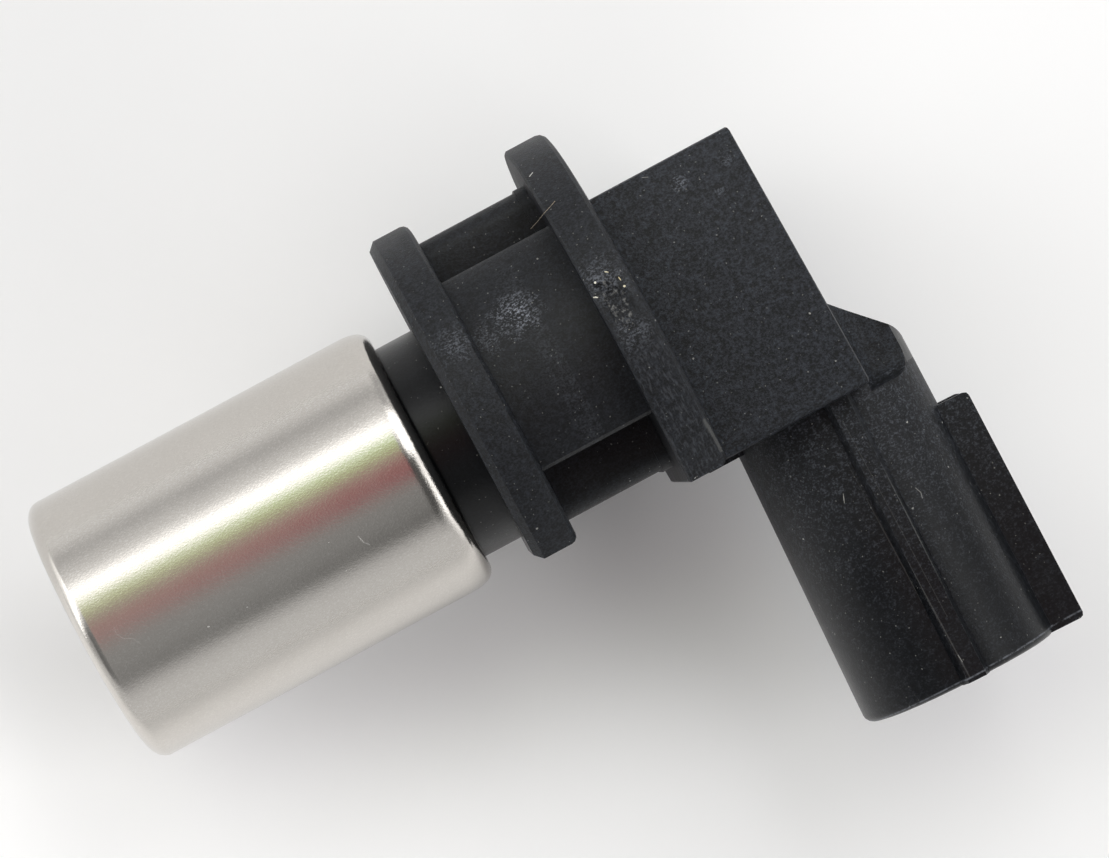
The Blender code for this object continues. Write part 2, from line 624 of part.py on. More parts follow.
def lead_end(side):
    """One end of the winding wire, run back and then turned in to its post."""
    centre_z = side * lead_height()
    turn_x = BOBBIN_REAR + FIT + LEAD_RADIUS
    reach_z = side * (BLADE_PITCH / 2 + POST_WIDTH / 2 + FIT)
    route = [(WINDING_REAR - 0.6 * MM, POST_Y, centre_z), (turn_x, POST_Y, centre_z),
             (turn_x + LEAD_RADIUS, POST_Y, reach_z)]
    directions = [Vector((1, 0, 0)), Vector((1, 0, -side)).normalized(), Vector((0, 0, -side))]
    stretch = [1.0, math.sqrt(2), 1.0]
    sections = []
    for point, along, wide in zip(route, directions, stretch):
        up = Vector((0, 1, 0))
        across = along.cross(up)
        ring = []
        for i in range(8):
            angle = math.tau * i / 8
            ring.append(Vector(point) + up * (LEAD_RADIUS * math.cos(angle))
                        + across * (LEAD_RADIUS * wide * math.sin(angle)))
        sections.append(ring)
    return loft("lead_end", sections)


def make_coil_winding():
    """The copper winding with both its lead ends."""
    edge = 0.25 * MM
    profile = [
        (WINDING_FRONT, WINDING_INNER),
        (WINDING_FRONT, WINDING_OUTER - edge),
        (WINDING_FRONT + edge, WINDING_OUTER),
        (WINDING_REAR - edge, WINDING_OUTER),
        (WINDING_REAR, WINDING_OUTER - edge),
        (WINDING_REAR, WINDING_INNER),
    ]
    winding = turned("coil_winding", profile, INNER_SEGMENTS)
    combine(winding, lead_end(-1), "UNION")
    combine(winding, lead_end(1), "UNION")
    return finish(winding, (0.45, 0.16, 0.06), 0.35, 0.9)


def make_coil_tape():
    """The tape wound round the coil."""
    inner = WINDING_OUTER + FIT
    outer = inner + TAPE_THICKNESS
    profile = [(WINDING_FRONT, inner), (WINDING_FRONT, outer), (WINDING_REAR, outer), (WINDING_REAR, inner)]
    return finish(turned("coil_tape", profile, INNER_SEGMENTS), (0.55, 0.40, 0.10), 0.4)


def make_pin(name, front, rear, colour, roughness, metallic):
    """A round bar of the magnetic circuit, chamfered at both ends."""
    profile = [
        (front, 0.0),
        (front, CORE_RADIUS - CORE_EDGE),
        (front + CORE_EDGE, CORE_RADIUS),
        (rear - CORE_EDGE, CORE_RADIUS),
        (rear, CORE_RADIUS - CORE_EDGE),
        (rear, 0.0),
    ]
    return finish(turned(name, profile, INNER_SEGMENTS), colour, roughness, metallic)


def make_winding_post(name, side):
    """A square pin pressed into the bobbin's end wall, beside the terminal it is soldered to."""
    half = POST_WIDTH / 2
    post_z = side * BLADE_PITCH / 2
    front = BOBBIN_REAR - BOBBIN_END_WALL / 2
    post = cuboid(name, (front, POST_Y - half, post_z - half), (POST_REAR, POST_Y + half, post_z + half),
                  0.1 * MM, 1)
    return finish(post, (0.75, 0.72, 0.66), 0.3, 1.0)


def make_terminal(name, side):
    """A bent blade from the bobbin's post to the connector's socket."""
    return finish(terminal_strip(name, side * BLADE_PITCH / 2), (0.78, 0.75, 0.68), 0.28, 1.0)


def main():
    remove_everything()
    make_steel_cap()
    make_sensor_housing()
    make_cap_seal_ring()
    make_coil_bobbin()
    make_coil_winding()
    make_coil_tape()
    make_pin("pole_piece", BOBBIN_FRONT, CORE_REAR, (0.45, 0.45, 0.46), 0.35, 1.0)
    make_pin("magnet", MAGNET_FRONT, MAGNET_REAR, (0.12, 0.12, 0.13), 0.45, 0.6)
    make_winding_post("winding_post_near", 1)
    make_winding_post("winding_post_far", -1)
    make_terminal("terminal_near", 1)
    make_terminal("terminal_far", -1)


main()
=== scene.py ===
"""Crankshaft position sensor: visible shapes, finishes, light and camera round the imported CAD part.

The barrel runs along +X from the sensing tip, the connector hangs along -Y, and the keying rib faces +Z,
towards the camera. All sizes are in metres.
"""
import math

import bmesh
import bpy
import numpy as np
from mathutils import Matrix, Vector, noise


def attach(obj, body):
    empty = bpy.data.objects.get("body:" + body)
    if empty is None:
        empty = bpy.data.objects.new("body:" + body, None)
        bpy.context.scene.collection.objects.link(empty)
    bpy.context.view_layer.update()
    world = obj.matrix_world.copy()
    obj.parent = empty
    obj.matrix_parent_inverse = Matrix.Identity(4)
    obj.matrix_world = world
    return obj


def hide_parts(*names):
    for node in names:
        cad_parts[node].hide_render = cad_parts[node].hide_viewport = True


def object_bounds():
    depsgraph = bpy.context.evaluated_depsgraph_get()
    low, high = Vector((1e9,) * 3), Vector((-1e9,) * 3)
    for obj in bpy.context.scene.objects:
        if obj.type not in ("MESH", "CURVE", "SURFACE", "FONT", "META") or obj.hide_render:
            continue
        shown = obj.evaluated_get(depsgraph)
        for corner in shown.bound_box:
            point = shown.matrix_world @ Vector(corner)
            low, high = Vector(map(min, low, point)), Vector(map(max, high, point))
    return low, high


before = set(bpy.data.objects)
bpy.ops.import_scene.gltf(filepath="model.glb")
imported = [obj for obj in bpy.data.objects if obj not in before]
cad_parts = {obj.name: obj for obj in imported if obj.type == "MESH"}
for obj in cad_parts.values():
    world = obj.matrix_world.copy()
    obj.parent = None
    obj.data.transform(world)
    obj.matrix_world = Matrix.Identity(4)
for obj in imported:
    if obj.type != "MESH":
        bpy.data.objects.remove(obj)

MM = 0.001

# Photograph: 1109 by 858 pixels, taken from the rib's side with a long lens
IMAGE_WIDTH = 1109
SENSOR_WIDTH = 36.0
CAMERA_DISTANCE_PIXELS = 4700.0
CAMERA_PLACE = Vector((24.596, -2.340, 296.417)) * MM
CAMERA_AIM = Vector((31.912, -2.371, 0.0)) * MM
CAMERA_TURN = math.radians(28.23)
CAMERA_NEAR = 0.01
CAMERA_FAR = 20.0

# Steel cap, as in the CAD part but for a shorter nose round and a gentler shoulder before the rolled edge,
# whose turn is in degrees; it is a hair smaller all round, so that it stays inside the CAD part's box
CAP_RADIUS = 9.0 * MM
CAP_LENGTH = 24.3 * MM
CAP_WALL = 0.5 * MM
CAP_NOSE_ROUND = 1.3 * MM
CAP_NOSE_SWEEP = 1.05 * MM
CAP_ROLL_LENGTH = 1.0 * MM
CAP_ROLL_START = 22.62 * MM
CAP_SHOULDER_RADIUS = 3.0 * MM
CAP_SHOULDER_TURN = 20
CAP_MOUTH = 7.68 * MM
HAIR = 0.004 * MM

# Steps of the cap's rounds, outside and inside, and of its turning, and the rail that it is swept along,
# whose radius is taken off its profile again
NOSE_STEPS = 20
NOSE_INSIDE_STEPS = 6
SHOULDER_STEPS = 8
ROLL_STEPS = 12
ROLL_INSIDE_STEPS = 5
CAP_SEGMENTS = 256
RAIL_RADIUS = 10.0 * MM

# Moulded edges of the housing, and how the CAD node's triangles are joined up before they are rounded
EDGE_WIDTH = 0.12 * MM
EDGE_STEPS = 3
EDGE_ANGLE = math.radians(24)
WELD = 0.002 * MM
FLATNESS = math.radians(0.6)

# Material places that tell the faces of rounded edges and of the scar apart while the housing is made
EDGE_INDEX = 1
SCAR_INDEX = 2

# Borders of the housing's forms: along the barrel, and the shell's upper end
SEAT_FLANGE_FRONT = 26.9 * MM
SEAT_FLANGE_REAR = 29.8 * MM
REAR_FLANGE_FRONT = 37.3 * MM
REAR_FLANGE_REAR = 40.1 * MM
SHELL_TOP = -9.05 * MM

# Rear face of the block: its place, the depth over which it moves, and its lean
BLOCK_REAR = 50.17 * MM
BLOCK_EDGE = 0.8 * MM
BLOCK_LEAN = math.radians(1.1)

# How coarse the mould's skin is on each form, from smooth (0) to coarse (1)
COARSE_BLOCK = 1.0
COARSE_FLANGE = 0.55
COARSE_BOSS = 0.40
COARSE_SHELL = 0.14
COARSE_NECK = 0.08

# Colours of the plastic and of what is on it
BLACK = (0.0012, 0.0016, 0.0026, 1.0)
FIBRE_GREY = (0.034, 0.040, 0.052, 1.0)
EDGE_GREY = (0.17, 0.185, 0.21, 1.0)
# The chalky colour also paints the highlights on the shell's mouth and on the boss and flange rims
CHALK_AND_HIGHLIGHT = (0.30, 0.32, 0.365, 1.0)
SCAR_PALE = (0.15, 0.15, 0.145, 1.0)
CRUMB_PALE = (0.80, 0.77, 0.66, 1.0)
CRUMB_YELLOW = (0.62, 0.53, 0.30, 1.0)
SPECK = (0.55, 0.55, 0.52, 1.0)

# Colours of the satin steel
STEEL_DARK = (0.560, 0.533, 0.497, 1.0)
STEEL_LIGHT = (0.605, 0.578, 0.540, 1.0)
STEEL_FLECK = (0.85, 0.84, 0.82, 1.0)

# Grain: cells to a metre of its coarse layer and of its blotches, as shares of the fine layer's, and the
# coarse layer's share of the height. All noise lies round its middle, and most blotches between two values
COARSE_LAYER = 0.3
BLOTCH_LAYER = 0.045
COARSE_HEIGHT = 0.35
NOISE_MIDDLE = 0.5
BLOTCHES = (0.3, 0.7)

# Wear: the noise between which an edge breaks up, how finely and how far specks are pushed out of round, the
# faintest speck's strength, and the share of a scratch's width that is full
EDGE_BREAKS = (0.35, 0.65)
SPECK_WOBBLE_SCALE = 9000.0
SPECK_WOBBLE = 0.12 * MM
FAINTEST_SPECK = 0.15
SCRATCH_CORE = 0.4

# Structure of the plastic: cells to a metre, stretch, and the shares of mottle and grain in its height
FIBRE_SCALE = 8600.0
MOTTLE_SCALE = 3300.0
RAGGED_SCALE = 1500.0
STREAK_SCALE = 7000.0
EDGE_BREAK_SCALE = 700.0
ALONG_BARREL = (0.8, 1.0, 1.0)
ROUND_THE_RIM = (1.0, 0.28, 0.28)
MOTTLE_SHARE = 0.32
GRAIN_SHARE = 0.64

# Levels of that structure between which each mark fades in
FIBRES_SHOW = (0.51, 0.78)
SALT_SHOWS = (0.60, 0.74)
CHALK_SHOWS = (0.62, 0.86)
STREAKS_SHOW = (0.46, 0.72)
TORN_SHOWS = (0.50, 0.74)
MOUTH_HIGHLIGHT_SHOWS = (-0.12, 0.06)

# What the skin shows as it goes from smooth to coarse: two coarsenesses, then the two values there
FIBRES_BY_SKIN = (0.0, 1.0, 0.06, 1.0)
DEPTH_BY_SKIN = (0.0, 0.8, 0.16, 1.0)
ROUGHNESS_BY_SKIN = (0.05, 0.5, 0.29, 0.53)
EDGE_WEAR_BY_SKIN = (0.2, 1.0, 0.30, 0.14)
GRAIN_DEPTH = 0.055 * MM
ROUGHNESS_SWING = 0.16
CHALK_ROUGHNESS = 0.3
CHALK_BREAKUP = 1.6
PLASTIC_SHINE = 0.30

# Bands over the housing: two places, then the two strengths there. The shell grows coarser and saltier
# upwards; the boss is wiped up to a sharp border; the rear flange's rim is scraped on its lower half
SHELL_COARSER = (-22.0 * MM, SHELL_TOP, 0.0, 0.45)
SHELL_SALTIER = (-26.0 * MM, SHELL_TOP, 0.03, 0.12)
WIPED_START = (32.4 * MM, 33.4 * MM)
WIPED_END = (34.16 * MM, 34.26 * MM, 1.0, 0.0)
WIPED_HEIGHT = (8.0 * MM, 10.5 * MM, 0.0, 0.06)
SCRAPED_START = (REAR_FLANGE_FRONT, REAR_FLANGE_FRONT + 0.1 * MM)
SCRAPED_END = (REAR_FLANGE_REAR - 0.7 * MM, REAR_FLANGE_REAR, 1.0, 0.0)
SCRAPED_SIDE = (2.0 * MM, -1.0 * MM, 0.0, 0.09)

# Painted highlight along the rounded lip of the shell's mouth, a pale line: its place, then how it fades with
# the distance from there
MOUTH_HIGHLIGHT_LINE = -28.0 * MM
MOUTH_HIGHLIGHT_FADE = (0.08 * MM, 0.02 * MM, 0.0, 0.35)

# Dust on the plastic and specks on the steel
FINE_DUST = {"Scale": 2300.0, "Size": 0.10, "Share": 0.85}
FINE_DUST_STRENGTH = 0.30
BIG_DUST = {"Scale": 900.0, "Size": 0.06, "Share": 0.20}
BIG_DUST_STRENGTH = 0.65
STEEL_SPECKS = {"Scale": 420.0, "Size": 0.035, "Share": 0.15}
STEEL_SPECK_STRENGTH = 0.5

# Satin of the steel: its grain, tones and flecks, and what a mark takes from metal and polish
STEEL_GRAIN = {"Scale": 9000.0, "Along": ALONG_BARREL, "Fleck level": 0.56, "Fleck softness": 0.12}
STEEL_TONES = (0.75, 1.55)
STEEL_GRAIN_TONE = 1.4
STEEL_BLOTCH_TONE = 0.4
STEEL_FLECK_STRENGTH = 0.15
STEEL_ROUGHNESS = (0.13, 0.17)
STEEL_DEPTH = 0.0065 * MM
MARK_METAL = 0.6
MARK_ROUGHNESS = 0.3

# Finishes of the crumbs, the lint and the inner pieces
SMALL_GRAIN_SCALE = 9000.0
SOFT_BUMP = 0.6
PLAIN_SWING = 0.05
CRUMB_YELLOW_SHOWS = (0.42, 0.58)
CRUMB_ROUGHNESS = (0.4, 0.9, 0.25, 0.45)
CRUMB_DEPTH = 0.01 * MM
LINT_PALE_SHOWS = (0.45, 0.85)
LINT_ROUGHNESS = (0.4, 0.6)
LINT_DEPTH = 0.005 * MM

# Pale patches, partly rubbed and chalky and partly painted highlight where the light's reflection falls on
# the boss and the flanges' rims: centre, reach in millimetres, strength
CHALK_AND_HIGHLIGHT_PATCHES = (
    ((32.9, 4.9, 11.0), 2.0, 0.80),
    ((30.8, 4.4, 11.1), 1.5, 0.25),
    ((28.75, 5.0, 12.4), 1.7, 0.26),
    ((38.3, 4.2, 13.9), 2.2, 0.30),
    ((38.5, 0.4, 14.4), 1.6, 0.25),
    ((45.6, 7.3, 9.0), 0.75, 0.42),
    ((48.7, 7.2, 9.0), 0.5, 0.20),
    ((47.5, 5.7, 9.0), 0.5, 0.20),
)

# Scratches and nicks: start, end, width in millimetres, strength
SCRATCHES = (
    ((37.70, 12.00, 8.10), (37.98, 12.14, 7.92), 0.05, 0.9),
    ((43.70, 8.66, 9.00), (44.04, 8.51, 9.00), 0.035, 0.35),
    ((45.38, -14.90, 6.20), (45.62, -14.30, 6.20), 0.035, 0.7),
    ((49.72, -16.15, 6.15), (49.88, -16.55, 6.12), 0.04, 0.30),
    ((49.88, -16.55, 6.12), (49.80, -16.90, 6.14), 0.04, 0.30),
    ((47.05, -26.40, 7.34), (47.08, -26.90, 7.34), 0.035, 0.40),
    ((39.80, -6.20, 12.97), (39.88, -8.25, 11.65), 0.20, 0.10),
    ((48.37, -9.60, 7.08), (48.37, -28.0, 7.24), 0.13, 0.13),
    ((46.70, -9.5, 6.40), (46.70, -28.0, 6.53), 0.05, 0.06),
    ((47.04, -9.5, 7.20), (47.04, -28.0, 7.36), 0.06, 0.06),
    ((47.62, -10.5, 7.22), (47.58, -24.0, 7.33), 0.035, 0.04),
)

# The same on the cap
CAP_SCRATCHES = (
    ((18.00, -2.45, 8.66), (18.12, -2.95, 8.50), 0.045, 0.5),
    ((18.12, -2.95, 8.50), (18.38, -3.25, 8.39), 0.035, 0.4),
    ((2.28, -0.30, 8.99), (2.22, -0.75, 8.97), 0.028, 0.28),
    ((2.22, -0.75, 8.97), (2.45, -1.20, 8.92), 0.028, 0.28),
    ((2.45, -1.20, 8.92), (2.95, -1.45, 8.88), 0.028, 0.28),
    ((2.95, -1.45, 8.88), (3.20, -1.95, 8.79), 0.028, 0.22),
    ((7.30, -3.00, 8.485), (7.36, -3.02, 8.48), 0.06, 0.8),
    ((9.95, -3.08, 8.457), (9.99, -3.08, 8.457), 0.045, 0.7),
    ((16.25, -1.96, 8.784), (16.28, -1.96, 8.784), 0.045, 0.5),
    ((16.35, -3.98, 8.072), (16.38, -3.98, 8.072), 0.045, 0.5),
    ((5.72, 4.10, 8.012), (5.74, 5.30, 7.274), 0.05, 0.07),
)

# Scar on the rear flange's rim, where the sprue was cut off
SCAR_CENTRE = Vector((38.42, 2.55, 14.30)) * MM
SCAR_TILT = math.radians(-10.0)
SCAR_REACH = Vector((0.84, 2.05, 0.36)) * MM
SCAR_LIFT = 0.16 * MM
SCAR_GRIT = 0.16

# Crumbs round the scar: place along the barrel and across the rim, width and length in millimetres, and
# turn in degrees; they sit on the rim
CRUMBS = (
    (37.90, 4.22, 0.16, 0.15, 20), (38.80, 4.47, 0.28, 0.09, -35), (37.50, 3.42, 0.32, 0.10, -32),
    (39.33, 3.20, 0.17, 0.16, 0), (39.30, 3.74, 0.07, 0.34, 4),
)
CRUMB_HEIGHT = 0.13
CRUMB_GRIT = 0.10
RIM_RADIUS = 14.47 * MM

# Uneven lumps: how fast their swells and their grit follow round the ball, how high the swells are, and the
# roughness, step and number of the layers of each
SWELL_PACE = 1.7
SWELL_HEIGHT = 0.22
SWELL_LAYERS = (0.8, 2.0, 4)
GRIT_PACE = 9.0
GRIT_LAYERS = (0.7, 2.0, 3)

# A fibre of lint that hangs from the boss over the rear flange's rim
LINT = ((36.25, 9.15, 8.05), (36.80, 9.30, 9.45), (37.34, 9.50, 10.93), (37.80, 9.66, 10.83),
        (38.25, 9.84, 10.66))
LINT_RADIUS = 0.018 * MM
LINT_STEPS_ROUND = 2
LINT_STEPS_ALONG = 6
LINT_TAN = (0.22, 0.18, 0.13, 1.0)
LINT_PALE = (0.38, 0.33, 0.25, 1.0)

# Sheet of paper: its size, its middle, its gap under the part, and its colours: a plain tone, painted light,
# painted shade at the left edge and far below the part, and a painted glow
FLOOR_SIZE = 3.0
FLOOR_MIDDLE = (0.028, -0.005)
FLOOR_GAP = 0.2 * MM
PAPER = (0.972, 0.974, 0.980, 1.0)
PAPER_PAINTED_LIGHT = (0.994, 0.994, 0.997, 1.0)
PAPER_PAINTED_SHADE = (0.930, 0.932, 0.938, 1.0)
PAPER_PAINTED_FAR_SHADE = (0.800, 0.800, 0.805, 1.0)
PAPER_PAINTED_GLOW = (0.165, 0.165, 0.167, 1.0)
NO_PAINTED_GLOW = (0.0, 0.0, 0.0, 1.0)
PAPER_CLOUD_SCALE = 90.0
PAPER_CLOUDS = 0.1
PAPER_ROUGHNESS = 0.85
PAPER_SHINE = 0.2

# Ways down and across the picture over the paper, and the bands that its painted light and shade follow: two
# places, then the two strengths there. Painted light makes it lightest low down, most of all on the left, and
# up the right-hand side; painted shade makes it dimmer at the left edge and far below the part. The painted
# glow fades out between two distances from the part
DOWN_PICTURE = (-0.47, -0.88, 0.0)
ACROSS_PICTURE = (0.88, -0.47, 0.0)
PAINTED_LIGHT_DOWN = (0.0, 12 * MM)
PAINTED_LIGHT_DOWN_ACROSS = (44 * MM, -4 * MM, 0.25, 1.0)
PAINTED_LIGHT_SIDE = (30 * MM, 56 * MM, 0.0, 0.42)
PAINTED_LIGHT_SIDE_UP = (6 * MM, -14 * MM)
PAINTED_SHADE_TO_PLAIN = (-6 * MM, 14 * MM)
PLAIN_TO_PAINTED_FAR_SHADE = (18 * MM, 110 * MM)
PAINTED_GLOW_REACH = (300 * MM, 80 * MM)

# Studio dome: radiance by the angle from straight up towards the far side of the barrel, in slices from
# the tip's side to the rear that blur into each other; the tints come from coloured things near the window
DOME_BLUR = 4.0
DOME_FRONT_FAR = ((-90, 0.8), (-48, 0.7), (-42, 0.5), (10, 0.5), (20, 2.3), (50, 2.6), (60, 1.4), (90, 1.2))
DOME_FRONT = ((-90, 0.8), (-60, 0.66), (-50, 0.36), (-42, 0.20), (6, 0.22), (14, 0.8), (22, 1.6),
              (30, 2.6), (42, 2.5), (54, 2.5), (64, 1.5), (90, 1.4))
DOME_FRONT_NEAR = ((-90, 0.82), (-66, 0.76), (-60, 0.66), (-52, 0.40), (-44, 0.24), (4, 0.26), (12, 0.50),
                   (20, 0.9), (27, 1.6), (33, 2.5), (40, 1.9), (50, 1.0), (68, 0.66), (90, 0.9))
DOME_MIDDLE = ((-180, 0.84), (-75, 0.80), (-66, 0.76), (-60, 0.68), (-54, 0.52), (-49, 0.35), (-44, 0.31),
               (-34, 0.36), (-20, 0.39), (-12, (0.42, 0.37, 0.36)), (-5, (0.48, 0.35, 0.34)),
               (3, (0.52, 0.35, 0.33)), (9, (0.51, 0.43, 0.38)), (14, (0.58, 0.56, 0.42)),
               (20, (0.77, 0.83, 0.52)), (26, (1.18, 1.24, 1.0)), (31, 2.2), (37, 2.3), (43, 1.4),
               (48, 1.0), (56, 0.84), (68, 0.60), (84, 0.96), (180, 1.0))
DOME_TINTED = ((-180, 0.82), (-75, 0.78), (-66, 0.73), (-60, 0.63), (-54, 0.44), (-50, 0.27), (-46, 0.18),
               (-40, 0.25), (-30, 0.31), (-20, 0.34), (-13, (0.37, 0.29, 0.28)),
               (-7, (0.40, 0.18, 0.19)), (2, (0.44, 0.18, 0.18)), (7, (0.48, 0.28, 0.27)),
               (13, (0.56, 0.47, 0.35)), (19, (0.65, 0.78, 0.36)), (25, (1.05, 1.28, 0.82)), (31, 2.1),
               (37, 2.3), (43, 1.4), (48, 0.96), (56, 0.80), (68, 0.55), (84, 0.92), (180, 1.0))
DOME_PLAIN = ((-180, 0.84), (-84, 0.80), (-66, 0.74), (-56, 0.36), (-48, 0.10), (4, 0.11), (14, 0.35),
              (21, 0.70), (27, 1.2), (33, 2.3), (40, 1.6), (46, 0.95), (54, 0.83), (68, 0.57),
              (84, 0.98), (180, 1.0))
DOME_REAR_NEAR = ((-90, 0.8), (-48, 0.5), (-42, 0.09), (4, 0.11), (16, 4.2), (42, 4.2), (52, 0.5), (90, 0.5))
DOME_REAR_EDGE = ((-90, 1.1), (-66, 1.6), (-48, 2.4), (-30, 2.0), (6, 1.7), (16, 2.6), (42, 3.0), (52, 0.8),
                  (90, 0.6))
DOME_REAR = ((-90, 1.1), (-48, 0.9), (6, 0.8), (16, 1.6), (44, 1.8), (52, 2.6), (90, 2.6))
DOME_REAR_FAR = ((-90, 0.8), (-48, 0.7), (-42, 0.45), (10, 0.45), (90, 0.6))

# The slices after the first, each with the angle towards the rear at which it begins
DOME_SLICES = (
    (DOME_FRONT, -58.0), (DOME_FRONT_NEAR, -36.0), (DOME_MIDDLE, -20.0), (DOME_TINTED, -2.5),
    (DOME_PLAIN, 7.0), (DOME_REAR_NEAR, 18.0), (DOME_REAR_EDGE, 27.0), (DOME_REAR, 40.0),
    (DOME_REAR_FAR, 58.0),
)


def new_piece(name, data):
    """Puts a new object into the scene, at the origin."""
    piece = bpy.data.objects.new(name, data)
    bpy.context.scene.collection.objects.link(piece)
    return piece


def finished_mesh(piece):
    """A plain mesh of a piece as its modifiers leave it."""
    ready = piece.evaluated_get(bpy.context.evaluated_depsgraph_get())
    return bpy.data.meshes.new_from_object(ready)


def place_camera():
    """The photograph's viewpoint: square above the barrel, turned so that the barrel rises to the right."""
    data = bpy.data.cameras.new("photo_camera")
    camera = new_piece("photo_camera", data)
    data.sensor_width = SENSOR_WIDTH
    data.lens = SENSOR_WIDTH * CAMERA_DISTANCE_PIXELS / IMAGE_WIDTH
    data.clip_start = CAMERA_NEAR
    data.clip_end = CAMERA_FAR
    back = (CAMERA_PLACE - CAMERA_AIM).normalized()
    right = Vector((math.cos(CAMERA_TURN), -math.sin(CAMERA_TURN), 0.0))
    right = (right - right.dot(back) * back).normalized()
    up = back.cross(right)
    turn = Matrix((right, up, back)).transposed().to_4x4()
    camera.matrix_world = Matrix.Translation(CAMERA_PLACE) @ turn
    bpy.context.scene.camera = camera


class Nodes:
    """A node tree that is written in short lines."""

    def __init__(self, tree):
        self.tree = tree

    def add(self, kind, inputs=None, **settings):
        """Adds a node; settings go on the node, inputs by their names or places to its sockets."""
        made = self.tree.nodes.new(kind)
        for name, value in settings.items():
            setattr(made, name, value)
        for name, value in (inputs or {}).items():
            self.put(made.inputs[name], value)
        return made

    def put(self, socket, value):
        """Links a socket, or sets its own value."""
        if isinstance(value, bpy.types.NodeSocket):
            self.tree.links.new(value, socket)
        else:
            socket.default_value = value

    def math(self, operation, first, second=0.0, third=0.0, clamp=False):
        """One step of arithmetic with numbers."""
        made = self.add("ShaderNodeMath", {0: first, 1: second, 2: third}, operation=operation)
        made.use_clamp = clamp
        return made.outputs[0]

    def vector(self, operation, first, second=(0.0, 0.0, 0.0), output=0):
        """One step of arithmetic with vectors; the output is named where it is a number."""
        made = self.add("ShaderNodeVectorMath", {0: first, 1: second}, operation=operation)
        return made.outputs[output]

    def band(self, value, low, high, out_low=0.0, out_high=1.0, smooth=True):
        """Rises from out_low to out_high as the value goes from low to high."""
        made = self.add("ShaderNodeMapRange", {0: value, 1: low, 2: high, 3: out_low, 4: out_high})
        made.interpolation_type = "SMOOTHSTEP" if smooth else "LINEAR"
        return made.outputs[0]

    def mix(self, factor, first, second):
        """The second colour over the first, by a factor."""
        made = self.add("ShaderNodeMix", {0: factor, 6: first, 7: second}, data_type="RGBA")
        return made.outputs[2]

    def noise(self, place, scale, detail, roughness):
        """Cloudy noise between 0 and 1."""
        made = self.add("ShaderNodeTexNoise", {"Vector": place, "Scale": scale, "Detail": detail,
                                               "Roughness": roughness})
        return made.outputs[0]

    def curve(self, value, stops):
        """A colour ramp; stops are pairs of a place and a grey or a colour."""
        made = self.add("ShaderNodeValToRGB", {0: value})
        ramp = made.color_ramp
        ramp.elements.remove(ramp.elements[1])
        for index, (place, colour) in enumerate(stops):
            stop = ramp.elements[0] if index == 0 else ramp.elements.new(place)
            stop.position = place
            stop.color = (*colour, 1.0) if isinstance(colour, tuple) else (colour, colour, colour, 1.0)
        return made.outputs[0]

    def stretch(self, place, scale):
        """A place scaled along each axis, which stretches the pattern that reads it."""
        made = self.add("ShaderNodeMapping", {"Vector": place, "Scale": scale})
        return made.outputs[0]

    def times(self, place, factor):
        """A vector made longer or shorter."""
        made = self.add("ShaderNodeVectorMath", {0: place, "Scale": factor}, operation="SCALE")
        return made.outputs[0]


def new_group(name, inputs, outputs):
    """An empty shader group with named inputs and outputs."""
    tree = bpy.data.node_groups.new(name, "ShaderNodeTree")
    kinds = {"float": "NodeSocketFloat", "vector": "NodeSocketVector"}
    for label, kind, value in inputs:
        socket = tree.interface.new_socket(label, in_out="INPUT", socket_type=kinds[kind])
        socket.default_value = value
    for label, kind in outputs:
        tree.interface.new_socket(label, in_out="OUTPUT", socket_type=kinds[kind])
    nodes = Nodes(tree)
    return nodes, nodes.add("NodeGroupInput").outputs, nodes.add("NodeGroupOutput").inputs


def group_node(nodes, name, inputs=None):
    """Places a group in a material with its own values."""
    made = nodes.add("ShaderNodeGroup", node_tree=bpy.data.node_groups[name])
    for label, value in (inputs or {}).items():
        nodes.put(made.inputs[label], value)
    return made.outputs


def make_grain_group():
    """Moulded or blasted grain: a height, the light flecks that it catches, and wide blotches."""
    nodes, given, out = new_group(
        "surface_grain",
        [("Scale", "float", 4000.0), ("Along", "vector", (1.0, 1.0, 1.0)),
         ("Fleck level", "float", 0.62), ("Fleck softness", "float", 0.08)],
        [("Height", "float"), ("Flecks", "float"), ("Blotches", "float")])
    place = nodes.add("ShaderNodeTexCoord").outputs["Object"]
    fine = nodes.noise(nodes.stretch(place, given["Along"]), given["Scale"], detail=2.0, roughness=0.65)
    coarse_scale = nodes.math("MULTIPLY", given["Scale"], COARSE_LAYER)
    coarse = nodes.noise(place, coarse_scale, detail=1.0, roughness=0.5)
    blotch_scale = nodes.math("MULTIPLY", given["Scale"], BLOTCH_LAYER)
    blotches = nodes.noise(place, blotch_scale, detail=2.0, roughness=0.55)
    high = nodes.math("ADD", given["Fleck level"], given["Fleck softness"])
    nodes.put(out["Height"], nodes.math("MULTIPLY_ADD", coarse, COARSE_HEIGHT, fine))
    nodes.put(out["Flecks"], nodes.band(fine, given["Fleck level"], high))
    nodes.put(out["Blotches"], blotches)


def make_edge_group():
    """Wear along outer moulded edges, which the edge attribute marks, broken up."""
    nodes, given, out = new_group("edge_wear", [("Breakup scale", "float", 900.0)], [("Mask", "float")])
    edge = nodes.add("ShaderNodeAttribute", attribute_name="edge").outputs["Fac"]
    place = nodes.add("ShaderNodeTexCoord").outputs["Object"]
    broken = nodes.band(nodes.noise(place, given["Breakup scale"], detail=4.0, roughness=0.65), *EDGE_BREAKS)
    nodes.put(out["Mask"], nodes.math("MULTIPLY", edge, broken))


